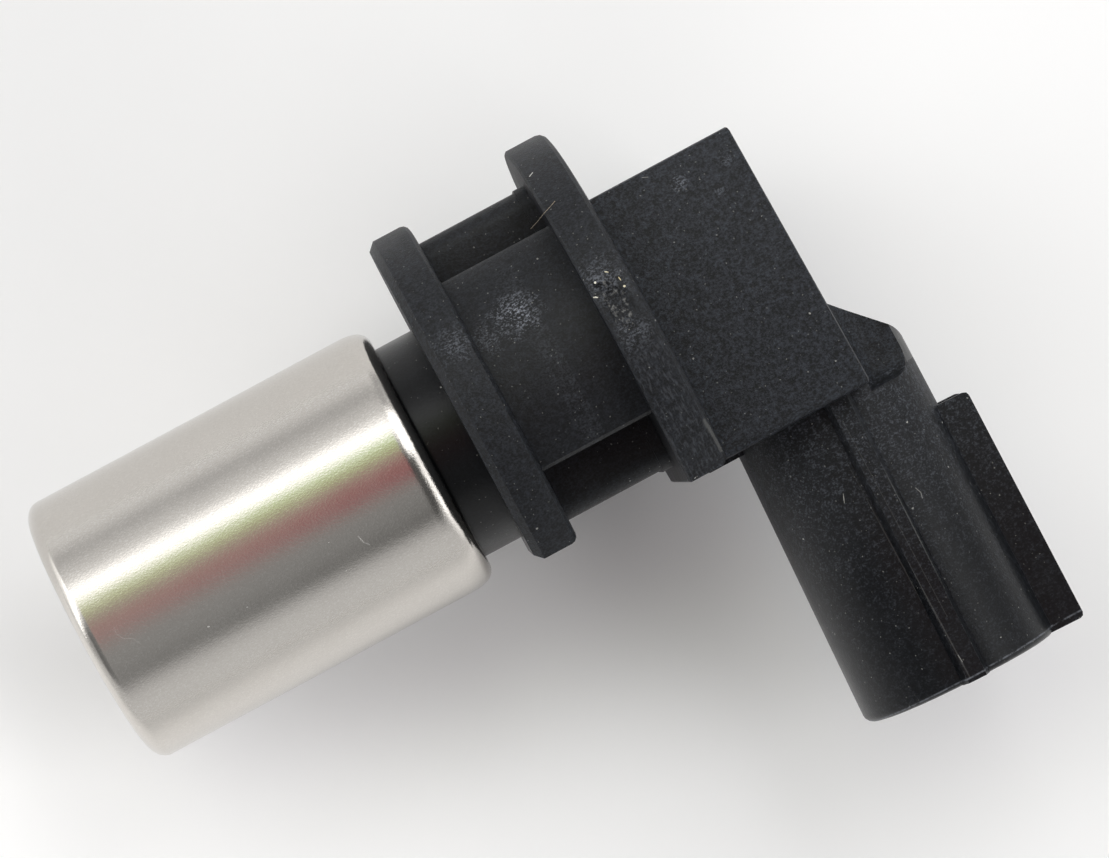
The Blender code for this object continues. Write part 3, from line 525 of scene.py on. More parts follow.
def make_speck_group():
    """Sparse pale specks of dust and fibre."""
    nodes, given, out = new_group(
        "pale_specks",
        [("Scale", "float", 700.0), ("Size", "float", 0.06), ("Share", "float", 0.25)],
        [("Mask", "float")])
    place = nodes.add("ShaderNodeTexCoord").outputs["Object"]
    wobble = nodes.add("ShaderNodeTexNoise", {"Vector": place, "Scale": SPECK_WOBBLE_SCALE}).outputs["Color"]
    uneven = nodes.vector("ADD", place, nodes.times(wobble, SPECK_WOBBLE))
    cell = nodes.add("ShaderNodeTexVoronoi", {"Vector": uneven, "Scale": given["Scale"]}).outputs
    spot = nodes.math("LESS_THAN", cell["Distance"], given["Size"])
    chance = nodes.add("ShaderNodeSeparateColor", {"Color": cell["Color"]}).outputs
    picked = nodes.math("LESS_THAN", chance["Red"], given["Share"])
    strength = nodes.band(chance["Green"], 0.0, 1.0, FAINTEST_SPECK, 1.0, smooth=False)
    nodes.put(out["Mask"], nodes.math("MULTIPLY", spot, nodes.math("MULTIPLY", picked, strength)))


def make_rub_group():
    """A pale patch, partly chalky and partly painted highlight: full at its centre, fading out with a broken
    edge.
    """
    nodes, given, out = new_group(
        "chalky_and_highlight_patch",
        [("Centre", "vector", (0, 0, 0)), ("Reach", "float", 1.0), ("Ragged", "float", 0.0),
         ("Breakup", "float", 0.5)],
        [("Mask", "float")])
    place = nodes.add("ShaderNodeTexCoord").outputs["Object"]
    apart = nodes.vector("DISTANCE", place, given["Centre"], output="Value")
    far = nodes.math("DIVIDE", apart, given["Reach"])
    ragged = nodes.math("MULTIPLY_ADD", given["Ragged"], given["Breakup"], far)
    nodes.put(out["Mask"], nodes.band(ragged, 1.0, 0.0))


def make_scratch_group():
    """One scratch or scrape: a thin line between two points, a little ragged."""
    nodes, given, out = new_group(
        "scratch_line",
        [("Start", "vector", (0, 0, 0)), ("End", "vector", (0, 0, 0)), ("Width", "float", 0.1),
         ("Ragged", "float", 0.0)],
        [("Mask", "float")])
    place = nodes.add("ShaderNodeTexCoord").outputs["Object"]
    from_start = nodes.vector("SUBTRACT", place, given["Start"])
    whole = nodes.vector("SUBTRACT", given["End"], given["Start"])
    share = nodes.math("DIVIDE", nodes.vector("DOT_PRODUCT", from_start, whole, output="Value"),
                       nodes.vector("DOT_PRODUCT", whole, whole, output="Value"), clamp=True)
    off = nodes.vector("LENGTH", nodes.vector("SUBTRACT", from_start, nodes.times(whole, share)),
                       output="Value")
    off = nodes.math("MULTIPLY_ADD", given["Ragged"], given["Width"], off)
    core = nodes.math("MULTIPLY", given["Width"], SCRATCH_CORE)
    nodes.put(out["Mask"], nodes.band(off, given["Width"], core))


def new_material(name):
    """A material with its Principled shader; gives both the nodes and the shader."""
    material = bpy.data.materials.new(name)
    material.use_nodes = True
    nodes = Nodes(material.node_tree)
    return material, nodes, material.node_tree.nodes["Principled BSDF"]


def bump(nodes, height, distance, strength=1.0):
    """A normal from a height, where the distance is the height's reach in metres."""
    made = nodes.add("ShaderNodeBump", {"Height": height, "Distance": distance, "Strength": strength})
    return made.outputs[0]


def ragged_noise(nodes, place, detail, roughness):
    """Noise round zero that makes the border of a mark ragged."""
    return nodes.math("SUBTRACT", nodes.noise(place, RAGGED_SCALE, detail, roughness), NOISE_MIDDLE)


def overlay(nodes, base, masks):
    """Adds masks to a first one, each with its own strength, up to 1."""
    for mask, strength in masks:
        base = nodes.math("MULTIPLY_ADD", mask, strength, base, clamp=True)
    return base


def product(nodes, first, *others):
    """Several masks multiplied."""
    for mask in others:
        first = nodes.math("MULTIPLY", first, mask)
    return first


def strongest(nodes, first, *others):
    """The strongest of several masks."""
    for mask in others:
        first = nodes.math("MAXIMUM", first, mask)
    return first


def patches(nodes, spots, ragged):
    """The strongest of several pale patches, partly chalky and partly painted highlight."""
    masks = []
    for centre, reach, strength in spots:
        patch = group_node(nodes, "chalky_and_highlight_patch", {"Centre": Vector(centre) * MM, "Reach": reach * MM,
                                                   "Ragged": ragged, "Breakup": CHALK_BREAKUP})
        masks.append(nodes.math("MULTIPLY", patch["Mask"], strength))
    return strongest(nodes, *masks)


def scratch_lines(nodes, lines, ragged):
    """The strongest of several scratches."""
    masks = []
    for start, end, width, strength in lines:
        line = group_node(nodes, "scratch_line", {"Start": Vector(start) * MM, "End": Vector(end) * MM,
                                                  "Width": width * MM, "Ragged": ragged})
        masks.append(nodes.math("MULTIPLY", line["Mask"], strength))
    return strongest(nodes, *masks)


def make_housing_plastic():
    """Black glass-filled plastic: coarse grain on block and flanges, smooth elsewhere, specks, wear, painted
    highlights.
    """
    material, nodes, shader = new_material("black_glass_filled_plastic")
    place = nodes.add("ShaderNodeTexCoord").outputs["Object"]
    parts = nodes.add("ShaderNodeSeparateXYZ", {"Vector": place}).outputs
    along, up, depth = parts["X"], parts["Y"], parts["Z"]
    scar = nodes.add("ShaderNodeAttribute", attribute_name="scar").outputs["Fac"]
    skin = nodes.add("ShaderNodeAttribute", attribute_name="coarse").outputs["Fac"]
    on_shell = nodes.math("LESS_THAN", up, SHELL_TOP)
    coarse = nodes.math("ADD", skin, product(nodes, nodes.band(up, *SHELL_COARSER), on_shell))

    # Structure: the grain with a mottle under it, and pale fibres where it is high
    grain = group_node(nodes, "surface_grain", {"Scale": FIBRE_SCALE, "Along": ALONG_BARREL})
    mottle = nodes.noise(place, MOTTLE_SCALE, detail=2.0, roughness=0.6)
    ragged = ragged_noise(nodes, place, detail=4.0, roughness=0.75)
    fine = nodes.math("MULTIPLY_ADD", mottle, MOTTLE_SHARE,
                      nodes.math("MULTIPLY", grain["Height"], GRAIN_SHARE))
    fibres = nodes.band(fine, *FIBRES_SHOW, smooth=False)
    share = product(nodes, fibres, nodes.band(coarse, *FIBRES_BY_SKIN, smooth=False))
    colour = nodes.mix(share, BLACK, FIBRE_GREY)

    # Pale marks: chalky salt on the shell, a painted highlight along its mouth, the wiped boss, patches that
    # are partly chalky and partly painted highlight, and the scraped rim
    salt = product(nodes, nodes.band(up, *SHELL_SALTIER), on_shell, nodes.band(fine, *SALT_SHOWS))
    # Painted highlight: a pale line along the shell's mouth, where its lip rounds over
    off_mouth = nodes.math("ABSOLUTE", nodes.math("SUBTRACT", up, MOUTH_HIGHLIGHT_LINE))
    mouth = product(nodes, nodes.band(off_mouth, *MOUTH_HIGHLIGHT_FADE), nodes.band(ragged, *MOUTH_HIGHLIGHT_SHOWS))
    wiped = product(nodes, nodes.band(along, *WIPED_START), nodes.band(along, *WIPED_END),
                    nodes.band(depth, *WIPED_HEIGHT), fibres)
    # Patches: chalky in part, and in part painted highlight where the light's reflection falls
    chalky = product(nodes, patches(nodes, CHALK_AND_HIGHLIGHT_PATCHES, ragged), nodes.band(grain["Height"], *CHALK_SHOWS))
    streaks = nodes.noise(nodes.stretch(place, ROUND_THE_RIM), STREAK_SCALE, detail=1.0, roughness=0.6)
    scraped = product(nodes, nodes.band(along, *SCRAPED_START), nodes.band(along, *SCRAPED_END),
                      nodes.band(up, *SCRAPED_SIDE), nodes.band(streaks, *STREAKS_SHOW))
    chalk_and_highlight = strongest(nodes, chalky, wiped, salt, mouth, scraped)
    colour = nodes.mix(chalk_and_highlight, colour, CHALK_AND_HIGHLIGHT)

    # Worn edges, dust, scratches and the torn scar
    edges = group_node(nodes, "edge_wear", {"Breakup scale": EDGE_BREAK_SCALE})
    worn_edge = product(nodes, edges["Mask"], nodes.band(coarse, *EDGE_WEAR_BY_SKIN))
    colour = nodes.mix(worn_edge, colour, EDGE_GREY)
    fine_dust = group_node(nodes, "pale_specks", FINE_DUST)
    big_dust = group_node(nodes, "pale_specks", BIG_DUST)
    pale = overlay(nodes, scratch_lines(nodes, SCRATCHES, ragged),
                   ((fine_dust["Mask"], FINE_DUST_STRENGTH), (big_dust["Mask"], BIG_DUST_STRENGTH)))
    colour = nodes.mix(pale, colour, SPECK)
    torn = product(nodes, scar, nodes.band(mottle, *TORN_SHOWS))
    nodes.put(shader.inputs["Base Color"], nodes.mix(torn, colour, SCAR_PALE))

    vary = nodes.math("MULTIPLY", nodes.math("SUBTRACT", grain["Blotches"], NOISE_MIDDLE), ROUGHNESS_SWING)
    rough = nodes.math("ADD", nodes.band(coarse, *ROUGHNESS_BY_SKIN, smooth=False), vary)
    rough = nodes.math("ADD", rough, nodes.math("MULTIPLY", chalk_and_highlight, CHALK_ROUGHNESS))
    nodes.put(shader.inputs["Roughness"], rough)
    relief = nodes.math("ADD", nodes.band(coarse, *DEPTH_BY_SKIN, smooth=False), scar)
    nodes.put(shader.inputs["Normal"], bump(nodes, product(nodes, fine, relief), GRAIN_DEPTH))
    shader.inputs["Specular IOR Level"].default_value = PLASTIC_SHINE
    return material


def make_crumb_finish():
    """Pale to yellowish crumbs of plastic left by the cut."""
    material, nodes, shader = new_material("pale_crumbs")
    grain = group_node(nodes, "surface_grain", {"Scale": SMALL_GRAIN_SCALE})
    yellow = nodes.band(grain["Blotches"], *CRUMB_YELLOW_SHOWS)
    nodes.put(shader.inputs["Base Color"], nodes.mix(yellow, CRUMB_PALE, CRUMB_YELLOW))
    nodes.put(shader.inputs["Roughness"], nodes.band(grain["Height"], *CRUMB_ROUGHNESS))
    nodes.put(shader.inputs["Normal"], bump(nodes, grain["Height"], CRUMB_DEPTH, SOFT_BUMP))
    return material


def make_cap_steel():
    """Drawn steel, tumbled to a fine satin, with faint scratches and specks."""
    material, nodes, shader = new_material("satin_drawn_steel")
    place = nodes.add("ShaderNodeTexCoord").outputs["Object"]
    grain = group_node(nodes, "surface_grain", STEEL_GRAIN)
    ragged = ragged_noise(nodes, place, detail=2.0, roughness=0.6)
    specks = group_node(nodes, "pale_specks", STEEL_SPECKS)
    blotch_tone = nodes.math("MULTIPLY", grain["Blotches"], STEEL_BLOTCH_TONE)
    tone = nodes.math("MULTIPLY_ADD", grain["Height"], STEEL_GRAIN_TONE, blotch_tone)
    colour = nodes.mix(nodes.band(tone, *STEEL_TONES), STEEL_DARK, STEEL_LIGHT)
    colour = nodes.mix(nodes.math("MULTIPLY", grain["Flecks"], STEEL_FLECK_STRENGTH), colour, STEEL_FLECK)
    marks = overlay(nodes, scratch_lines(nodes, CAP_SCRATCHES, ragged),
                    ((specks["Mask"], STEEL_SPECK_STRENGTH),))
    nodes.put(shader.inputs["Base Color"], nodes.mix(marks, colour, STEEL_FLECK))
    lost = nodes.math("MULTIPLY", marks, MARK_METAL)
    nodes.put(shader.inputs["Metallic"], nodes.math("SUBTRACT", 1.0, lost))
    rough = nodes.band(grain["Blotches"], *BLOTCHES, *STEEL_ROUGHNESS)
    nodes.put(shader.inputs["Roughness"], nodes.math("MULTIPLY_ADD", marks, MARK_ROUGHNESS, rough))
    nodes.put(shader.inputs["Normal"], bump(nodes, grain["Height"], STEEL_DEPTH))
    return material


def plain_finish(name, low, high, scale, roughness, metallic=0.0, depth=0.01 * MM, along=(1.0, 1.0, 1.0)):
    """A finish for an inner piece: two shades of one colour, and grain."""
    material, nodes, shader = new_material(name)
    grain = group_node(nodes, "surface_grain", {"Scale": scale, "Along": along})
    nodes.put(shader.inputs["Base Color"], nodes.mix(grain["Blotches"], (*low, 1.0), (*high, 1.0)))
    nodes.put(shader.inputs["Roughness"],
              nodes.band(grain["Blotches"], *BLOTCHES, roughness - PLAIN_SWING, roughness + PLAIN_SWING))
    shader.inputs["Metallic"].default_value = metallic
    nodes.put(shader.inputs["Normal"], bump(nodes, grain["Height"], depth, SOFT_BUMP))
    return material


def tidy_mesh(source):
    """A closed copy of a CAD node's loose triangles, its flat faces joined up."""
    mesh = bpy.data.meshes.new(source.name)
    work = bmesh.new()
    work.from_mesh(source.data)
    bmesh.ops.remove_doubles(work, verts=work.verts, dist=WELD)
    bmesh.ops.dissolve_limit(work, angle_limit=FLATNESS, verts=work.verts, edges=work.edges,
                             use_dissolve_boundaries=False)
    work.to_mesh(mesh)
    work.free()
    for name in ("custom_normal", "sharp_edge", "sharp_face"):
        if name in mesh.attributes:
            mesh.attributes.remove(mesh.attributes[name])
    return mesh


def mark_faces(mesh, name, values):
    """Gives each face its own value of a mark."""
    marks = mesh.attributes.new(name, "FLOAT", "FACE")
    marks.data.foreach_set("value", np.asarray(values, np.float32))


def mark_edges(mesh):
    """Marks the faces of rounded edges that stand outwards, but not those in a corner."""
    edge_of = {tuple(sorted(edge.vertices)): [] for edge in mesh.edges}
    for face in mesh.polygons:
        for key in face.edge_keys:
            edge_of[tuple(sorted(key))].append(face.index)
    turn = np.zeros(len(mesh.polygons))
    for one, other in (pair for pair in edge_of.values() if len(pair) == 2):
        first, second = mesh.polygons[one], mesh.polygons[other]
        bend = -(second.center - first.center).dot(first.normal)
        for face in (first, second):
            turn[face.index] += bend if face.material_index == EDGE_INDEX else 0.0
    mark_faces(mesh, "edge", turn > 0.0)


def mark_skin(mesh):
    """Gives each face the coarseness of the mould's skin where it lies."""
    skin = []
    for face in mesh.polygons:
        x, y, _ = face.center
        if y < SHELL_TOP:
            skin.append(COARSE_SHELL)
        elif x > REAR_FLANGE_REAR:
            skin.append(COARSE_BLOCK)
        elif x > REAR_FLANGE_FRONT or SEAT_FLANGE_FRONT < x < SEAT_FLANGE_REAR:
            skin.append(COARSE_FLANGE)
        elif x > SEAT_FLANGE_REAR:
            skin.append(COARSE_BOSS)
        else:
            skin.append(COARSE_NECK)
    mark_faces(mesh, "coarse", skin)


def lean_block(mesh):
    """Leans the block's rear face in towards its far side, as the mould's draft does."""
    for vertex in mesh.vertices:
        place = vertex.co
        if place.x > BLOCK_REAR - BLOCK_EDGE and place.y > SHELL_TOP:
            share = (place.x - BLOCK_REAR + BLOCK_EDGE) / BLOCK_EDGE
            place.x -= min(share, 1.0) * (place.y - SHELL_TOP) * math.tan(BLOCK_LEAN)


def rough_ball(work, centre, reach, turn, grit, level, seed):
    """Adds a lump to a mesh: a ball stretched to its reach, made uneven, turned and set down."""
    made = bmesh.ops.create_icosphere(work, subdivisions=level, radius=1.0)["verts"]
    for vertex in made:
        way = vertex.co.normalized()
        swell = noise.fractal(way * SWELL_PACE + Vector((seed, 0.0, 0.0)), *SWELL_LAYERS)
        grain = noise.fractal(way * GRIT_PACE + Vector((0.0, seed, 0.0)), *GRIT_LAYERS)
        vertex.co = way * (1.0 + SWELL_HEIGHT * swell + grit * grain)
    place = Matrix.Translation(centre) @ turn @ Matrix.Diagonal((*reach, 1.0))
    bmesh.ops.transform(work, matrix=place, verts=made)


def add_material_places(mesh):
    """Gives a mesh the empty material places that tell its faces apart."""
    for _ in range(SCAR_INDEX + 1):
        mesh.materials.append(None)


def make_scar_cutter():
    """The uneven lump that the scar is cut out with."""
    mesh = bpy.data.meshes.new("scar_cutter")
    work = bmesh.new()
    turn = Matrix.Rotation(SCAR_TILT, 4, "X")
    lift = turn @ Vector((0.0, 0.0, SCAR_LIFT))
    rough_ball(work, SCAR_CENTRE + lift, SCAR_REACH, turn, SCAR_GRIT, level=5, seed=3.0)
    for face in work.faces:
        face.material_index = SCAR_INDEX
    work.to_mesh(mesh)
    work.free()
    add_material_places(mesh)
    return new_piece("scar_cutter", mesh)


def make_crumbs(finish):
    """Crumbs of plastic round the scar, each sunk a little into the rim."""
    mesh = bpy.data.meshes.new("scar_crumbs")
    work = bmesh.new()
    for number, (along, across, width, length, turned) in enumerate(CRUMBS):
        across, lean = across * MM, math.asin(across * MM / RIM_RADIUS)
        centre = Vector((along * MM, across, RIM_RADIUS * math.cos(lean)))
        turn = Matrix.Rotation(-lean, 4, "X") @ Matrix.Rotation(math.radians(turned), 4, "Z")
        reach = Vector((width, length, CRUMB_HEIGHT)) * MM / 2
        rough_ball(work, centre, reach, turn, CRUMB_GRIT, level=3, seed=7.0 * number)
    for face in work.faces:
        face.smooth = True
    work.to_mesh(mesh)
    work.free()
    mesh.materials.append(finish)
    return new_piece("scar_crumbs", mesh)


def make_lint_finish():
    """Tan lint with paler stretches."""
    material, nodes, shader = new_material("tan_lint")
    grain = group_node(nodes, "surface_grain", {"Scale": SMALL_GRAIN_SCALE})
    paler = nodes.band(grain["Height"], *LINT_PALE_SHOWS)
    nodes.put(shader.inputs["Base Color"], nodes.mix(paler, LINT_TAN, LINT_PALE))
    nodes.put(shader.inputs["Roughness"], nodes.band(grain["Blotches"], *BLOTCHES, *LINT_ROUGHNESS))
    nodes.put(shader.inputs["Normal"], bump(nodes, grain["Height"], LINT_DEPTH, SOFT_BUMP))
    return material


def make_lint(finish):
    """The fibre of lint, as a thin closed tube along a smooth curve."""
    line = bpy.data.curves.new("lint_fibre", "CURVE")
    line.dimensions = "3D"
    line.bevel_depth = LINT_RADIUS
    line.bevel_resolution = LINT_STEPS_ROUND
    line.use_fill_caps = True
    line.resolution_u = LINT_STEPS_ALONG
    spline = line.splines.new("BEZIER")
    spline.bezier_points.add(len(LINT) - 1)
    for point, place in zip(spline.bezier_points, LINT):
        point.co = Vector(place) * MM
        point.handle_left_type = point.handle_right_type = "AUTO"
    source = new_piece("lint_source", line)
    mesh = finished_mesh(source)
    bpy.data.objects.remove(source)
    face_out(mesh)
    mesh.shade_smooth()
    mesh.materials.clear()
    mesh.materials.append(finish)
    return new_piece("lint_fibre", mesh)


def make_housing(finish):
    """The moulding: the CAD solid with its edges rounded as a mould leaves them, and the scar cut in."""
    mesh = tidy_mesh(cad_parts["sensor_housing"])
    mesh.materials.clear()
    add_material_places(mesh)
    piece = new_piece("housing_moulding", mesh)
    edge = piece.modifiers.new("edge", "BEVEL")
    edge.width = EDGE_WIDTH
    edge.segments = EDGE_STEPS
    edge.limit_method = "ANGLE"
    edge.angle_limit = EDGE_ANGLE
    edge.harden_normals = True
    edge.use_clamp_overlap = True
    edge.loop_slide = True
    edge.miter_outer = "MITER_ARC"
    edge.material = EDGE_INDEX
    cutter = make_scar_cutter()
    cut = piece.modifiers.new("scar", "BOOLEAN")
    cut.operation = "DIFFERENCE"
    cut.object = cutter
    cut.solver = "EXACT"
    cut.material_mode = "INDEX"
    done = finished_mesh(piece)
    piece.modifiers.clear()
    piece.data = done
    bpy.data.objects.remove(cutter)
    lean_block(done)
    mark_faces(done, "scar", [face.material_index == SCAR_INDEX for face in done.polygons])
    mark_edges(done)
    mark_skin(done)
    done.polygons.foreach_set("material_index", [0] * len(done.polygons))
    done.materials.clear()
    done.materials.append(finish)
    done.shade_smooth()
    return piece


def arc(centre, reach, start, end, steps):
    """Points on an arc of a circle or an oval, by its reach along and across, and angles in degrees."""
    points = []
    for step in range(steps + 1):
        turn = math.radians(start + (end - start) * step / steps)
        points.append((centre[0] + reach[0] * math.cos(turn), centre[1] + reach[1] * math.sin(turn)))
    return points


def cap_profile():
    """The cap's wall from the middle of its nose, along the outside, round the roll and back inside."""
    bore = CAP_RADIUS - CAP_WALL
    points = [(0.0, 0.0)]
    points += arc((CAP_NOSE_SWEEP, CAP_RADIUS - CAP_NOSE_ROUND), (CAP_NOSE_SWEEP, CAP_NOSE_ROUND),
                  180, 90, NOSE_STEPS)
    points += arc((CAP_ROLL_START, CAP_RADIUS - CAP_SHOULDER_RADIUS),
                  (CAP_SHOULDER_RADIUS, CAP_SHOULDER_RADIUS), 90, 90 - CAP_SHOULDER_TURN, SHOULDER_STEPS)
    along, across = points.pop()
    steepness = math.radians(CAP_SHOULDER_TURN)
    tight = (CAP_LENGTH - along) / (1 - math.sin(steepness))
    points += arc((CAP_LENGTH - tight, across - tight * math.cos(steepness)), (tight, tight),
                  90 - CAP_SHOULDER_TURN, 0, ROLL_STEPS)
    points.append((CAP_LENGTH, CAP_MOUTH))
    rolled = bore - CAP_MOUTH
    points += arc((CAP_LENGTH - CAP_ROLL_LENGTH, CAP_MOUTH), (CAP_ROLL_LENGTH - CAP_WALL, rolled),
                  0, 90, ROLL_INSIDE_STEPS)
    inside = CAP_NOSE_ROUND - CAP_WALL
    points += arc((CAP_NOSE_ROUND, bore - inside), (inside, inside), 90, 180, NOSE_INSIDE_STEPS)
    points.append((CAP_WALL, 0.0))
    return points


def geometry_tree(name, inputs):
    """An empty Geometry Nodes tree with named inputs; gives its nodes, inputs and output."""
    tree = bpy.data.node_groups.new(name, "GeometryNodeTree")
    for label, kind, value in inputs:
        socket = tree.interface.new_socket(label, in_out="INPUT", socket_type=kind)
        if value is not None:
            socket.default_value = value
    tree.interface.new_socket("Geometry", in_out="OUTPUT", socket_type="NodeSocketGeometry")
    nodes = Nodes(tree)
    return nodes, nodes.add("NodeGroupInput").outputs, nodes.add("NodeGroupOutput").inputs


def run_tree(name, tree, values):
    """Runs a Geometry Nodes tree on an empty piece and keeps the result as a plain mesh."""
    piece = new_piece(name, bpy.data.meshes.new(name))
    maker = piece.modifiers.new("maker", "NODES")
    maker.node_group = tree
    for item in tree.interface.items_tree:
        if item.item_type == "SOCKET" and item.in_out == "INPUT" and item.name in values:
            maker[item.identifier] = values[item.name]
    done = finished_mesh(piece)
    piece.modifiers.clear()
    piece.data = done
    return piece


def make_turning_tree():
    """Turns an upright profile curve round the X axis."""
    nodes, given, out = geometry_tree("turned_on_x", [
        ("Profile", "NodeSocketObject", None), ("Segments", "NodeSocketInt", 64),
        ("Finish", "NodeSocketMaterial", None)])
    rail = nodes.add("GeometryNodeCurvePrimitiveCircle", {"Resolution": given["Segments"],
                                                          "Radius": RAIL_RADIUS}, mode="RADIUS")
    profile = nodes.add("GeometryNodeObjectInfo", {"Object": given["Profile"]})
    skin = nodes.add("GeometryNodeCurveToMesh", {"Curve": rail.outputs["Curve"],
                                                 "Profile Curve": profile.outputs["Geometry"]})
    joined = nodes.add("GeometryNodeMergeByDistance", {"Geometry": skin.outputs["Mesh"],
                                                       "Distance": WELD})
    upright = nodes.add("GeometryNodeTransform", {"Geometry": joined.outputs["Geometry"],
                                                  "Rotation": (0.0, math.radians(90), 0.0)})
    smooth = nodes.add("GeometryNodeSetShadeSmooth", {"Geometry": upright.outputs["Geometry"]})
    real = nodes.add("GeometryNodeRealizeInstances", {"Geometry": smooth.outputs["Geometry"]})
    finish = nodes.add("GeometryNodeSetMaterial", {"Geometry": real.outputs["Geometry"],
                                                   "Material": given["Finish"]})
    nodes.put(out["Geometry"], finish.outputs["Geometry"])
    return nodes.tree


def face_out(mesh):
    """Points every face of a closed mesh outwards."""
    work = bmesh.new()
    work.from_mesh(mesh)
    bmesh.ops.recalc_face_normals(work, faces=work.faces)
    work.to_mesh(mesh)
    work.free()


def make_cap(finish):
    """The steel cap, turned finely from its profile."""
    line = bpy.data.curves.new("cap_profile", "CURVE")
    line.dimensions = "3D"
    spline = line.splines.new("POLY")
    points = cap_profile()
    spline.points.add(len(points) - 1)
    for point, (along, radius) in zip(spline.points, points):
        point.co = (max(radius - HAIR, 0.0) - RAIL_RADIUS, -along - HAIR, 0.0, 1.0)
    profile = new_piece("cap_profile", line)
    cap = run_tree("cap_shell", make_turning_tree(),
                   {"Profile": profile, "Segments": CAP_SEGMENTS, "Finish": finish})
    bpy.data.objects.remove(profile)
    face_out(cap.data)
    return cap


def make_paper():
    """Pale paper, painted lighter towards the bottom and right of the picture, and with a painted glow."""
    material, nodes, shader = new_material("pale_paper_painted_light")
    place = nodes.add("ShaderNodeTexCoord").outputs["Object"]
    down = nodes.vector("DOT_PRODUCT", place, DOWN_PICTURE, output="Value")
    across = nodes.vector("DOT_PRODUCT", place, ACROSS_PICTURE, output="Value")
    # Painted light: the paper made lighter low down and up the right-hand side
    below = product(nodes, nodes.band(down, *PAINTED_LIGHT_DOWN), nodes.band(across, *PAINTED_LIGHT_DOWN_ACROSS))
    beside = product(nodes, nodes.band(across, *PAINTED_LIGHT_SIDE), nodes.band(down, *PAINTED_LIGHT_SIDE_UP))
    clouds = nodes.noise(place, PAPER_CLOUD_SCALE, detail=3.0, roughness=0.5)
    tone = nodes.math("MULTIPLY_ADD", clouds, PAPER_CLOUDS, strongest(nodes, below, beside))
    # Painted shade: dimmer at the left edge, and far below the part
    plain = nodes.mix(nodes.band(across, *PAINTED_SHADE_TO_PLAIN), PAPER_PAINTED_SHADE, PAPER)
    paper = nodes.mix(tone, plain, PAPER_PAINTED_LIGHT)
    nodes.put(shader.inputs["Base Color"], nodes.mix(nodes.band(down, *PLAIN_TO_PAINTED_FAR_SHADE), paper, PAPER_PAINTED_FAR_SHADE))
    # Painted glow near the part, where the paper is painted lighter
    near = nodes.band(nodes.vector("LENGTH", place, output="Value"), *PAINTED_GLOW_REACH)
    nodes.put(shader.inputs["Emission Color"], nodes.mix(product(nodes, tone, near), NO_PAINTED_GLOW, PAPER_PAINTED_GLOW))
    shader.inputs["Emission Strength"].default_value = 1.0
    shader.inputs["Roughness"].default_value = PAPER_ROUGHNESS
    shader.inputs["Specular IOR Level"].default_value = PAPER_SHINE
    return material


def make_floor():
    """A flat sheet of paper a hair under the part."""
    low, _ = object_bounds()
    mesh = bpy.data.meshes.new("paper_floor")
    work = bmesh.new()
    bmesh.ops.create_grid(work, x_segments=1, y_segments=1, size=FLOOR_SIZE / 2)
    work.to_mesh(mesh)
    work.free()
    mesh.transform(Matrix.Translation((*FLOOR_MIDDLE, low[2] - FLOOR_GAP)))
    mesh.materials.append(make_paper())
    floor = new_piece("paper_floor", mesh)


def dome_column(nodes, side, levels):
    """Radiance round one slice of the dome, from angles off straight up towards the far side."""
    stops = [((angle + 180) / 360, level) for angle, level in levels]
    return nodes.curve(nodes.band(side, -180.0, 180.0, smooth=False), stops)


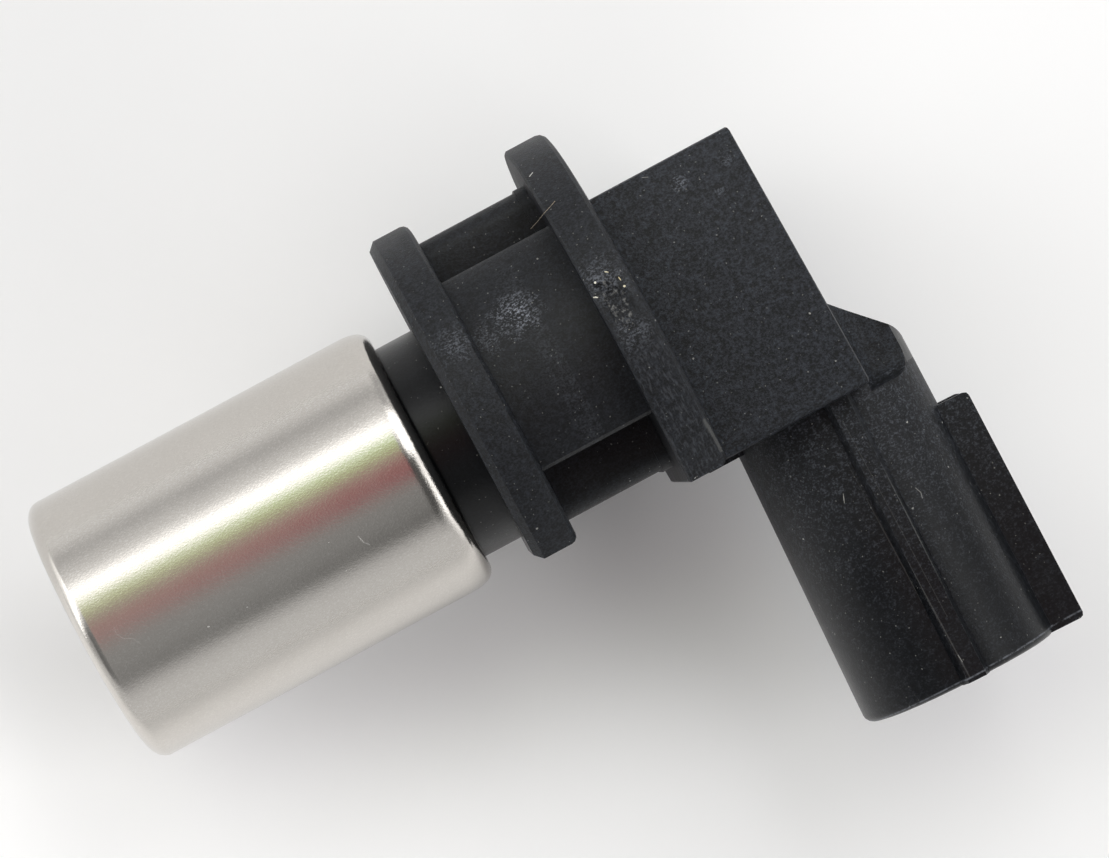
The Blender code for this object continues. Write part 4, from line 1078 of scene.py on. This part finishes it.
def make_light():
    """A soft studio dome: windows beyond the barrel and at its rear, and darkness behind the camera."""
    world = bpy.data.worlds.new("soft_studio")
    bpy.context.scene.world = world
    world.use_nodes = True
    nodes = Nodes(world.node_tree)
    towards = nodes.add("ShaderNodeTexCoord").outputs["Generated"]
    parts = nodes.add("ShaderNodeSeparateXYZ", {"Vector": towards}).outputs
    side = nodes.math("DEGREES", nodes.math("ARCTAN2", parts["Y"], parts["Z"]))
    along = nodes.math("DEGREES", nodes.math("ARCSINE", parts["X"]))
    light = dome_column(nodes, side, DOME_FRONT_FAR)
    for levels, border in DOME_SLICES:
        share = nodes.band(along, border - DOME_BLUR, border + DOME_BLUR)
        light = nodes.mix(share, light, dome_column(nodes, side, levels))
    nodes.put(nodes.tree.nodes["Background"].inputs["Color"], light)


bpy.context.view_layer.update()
place_camera()

make_grain_group()
make_edge_group()
make_speck_group()
make_rub_group()
make_scratch_group()

tin = plain_finish("tinned_blade", (0.66, 0.64, 0.58), (0.78, 0.75, 0.68), scale=3000.0, roughness=0.3,
                   metallic=1.0, depth=0.003 * MM, along=(1.0, 0.15, 1.0))
inner_finishes = {
    "cap_seal_ring": plain_finish("black_rubber", (0.012, 0.012, 0.012), (0.022, 0.021, 0.02),
                                  scale=2500.0, roughness=0.7),
    "coil_bobbin": plain_finish("natural_moulding", (0.50, 0.44, 0.32), (0.60, 0.55, 0.42),
                                scale=1500.0, roughness=0.5),
    "coil_winding": plain_finish("enamelled_wire", (0.34, 0.11, 0.04), (0.55, 0.21, 0.08), scale=2000.0,
                                 roughness=0.35, metallic=0.9, depth=0.02 * MM, along=(3.0, 0.05, 0.05)),
    "coil_tape": plain_finish("amber_film", (0.48, 0.33, 0.07), (0.60, 0.44, 0.13),
                              scale=800.0, roughness=0.35),
    "pole_piece": plain_finish("turned_iron", (0.38, 0.38, 0.39), (0.50, 0.50, 0.51), scale=3000.0,
                               roughness=0.4, metallic=1.0, along=(2.0, 0.1, 0.1)),
    "magnet": plain_finish("sintered_alloy", (0.09, 0.09, 0.10), (0.16, 0.16, 0.17), scale=3500.0,
                           roughness=0.6, metallic=0.6),
    "winding_post_near": tin,
    "winding_post_far": tin,
    "terminal_near": tin,
    "terminal_far": tin,
}
for node, finish in inner_finishes.items():
    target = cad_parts[node]
    if target.material_slots:
        target.material_slots[0].material = finish
    else:
        target.data.materials.append(finish)

housing = make_housing(make_housing_plastic())
cap = make_cap(make_cap_steel())
for bit in (make_crumbs(make_crumb_finish()), make_lint(make_lint_finish())):
    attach(bit, "root")
for piece, node, slot in ((housing, "sensor_housing", "housing_plastic"), (cap, "steel_cap", "cap_steel")):
    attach(piece, "root")
    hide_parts(node)

make_floor()
make_light()
bpy.context.scene.view_settings.view_transform = "Standard"
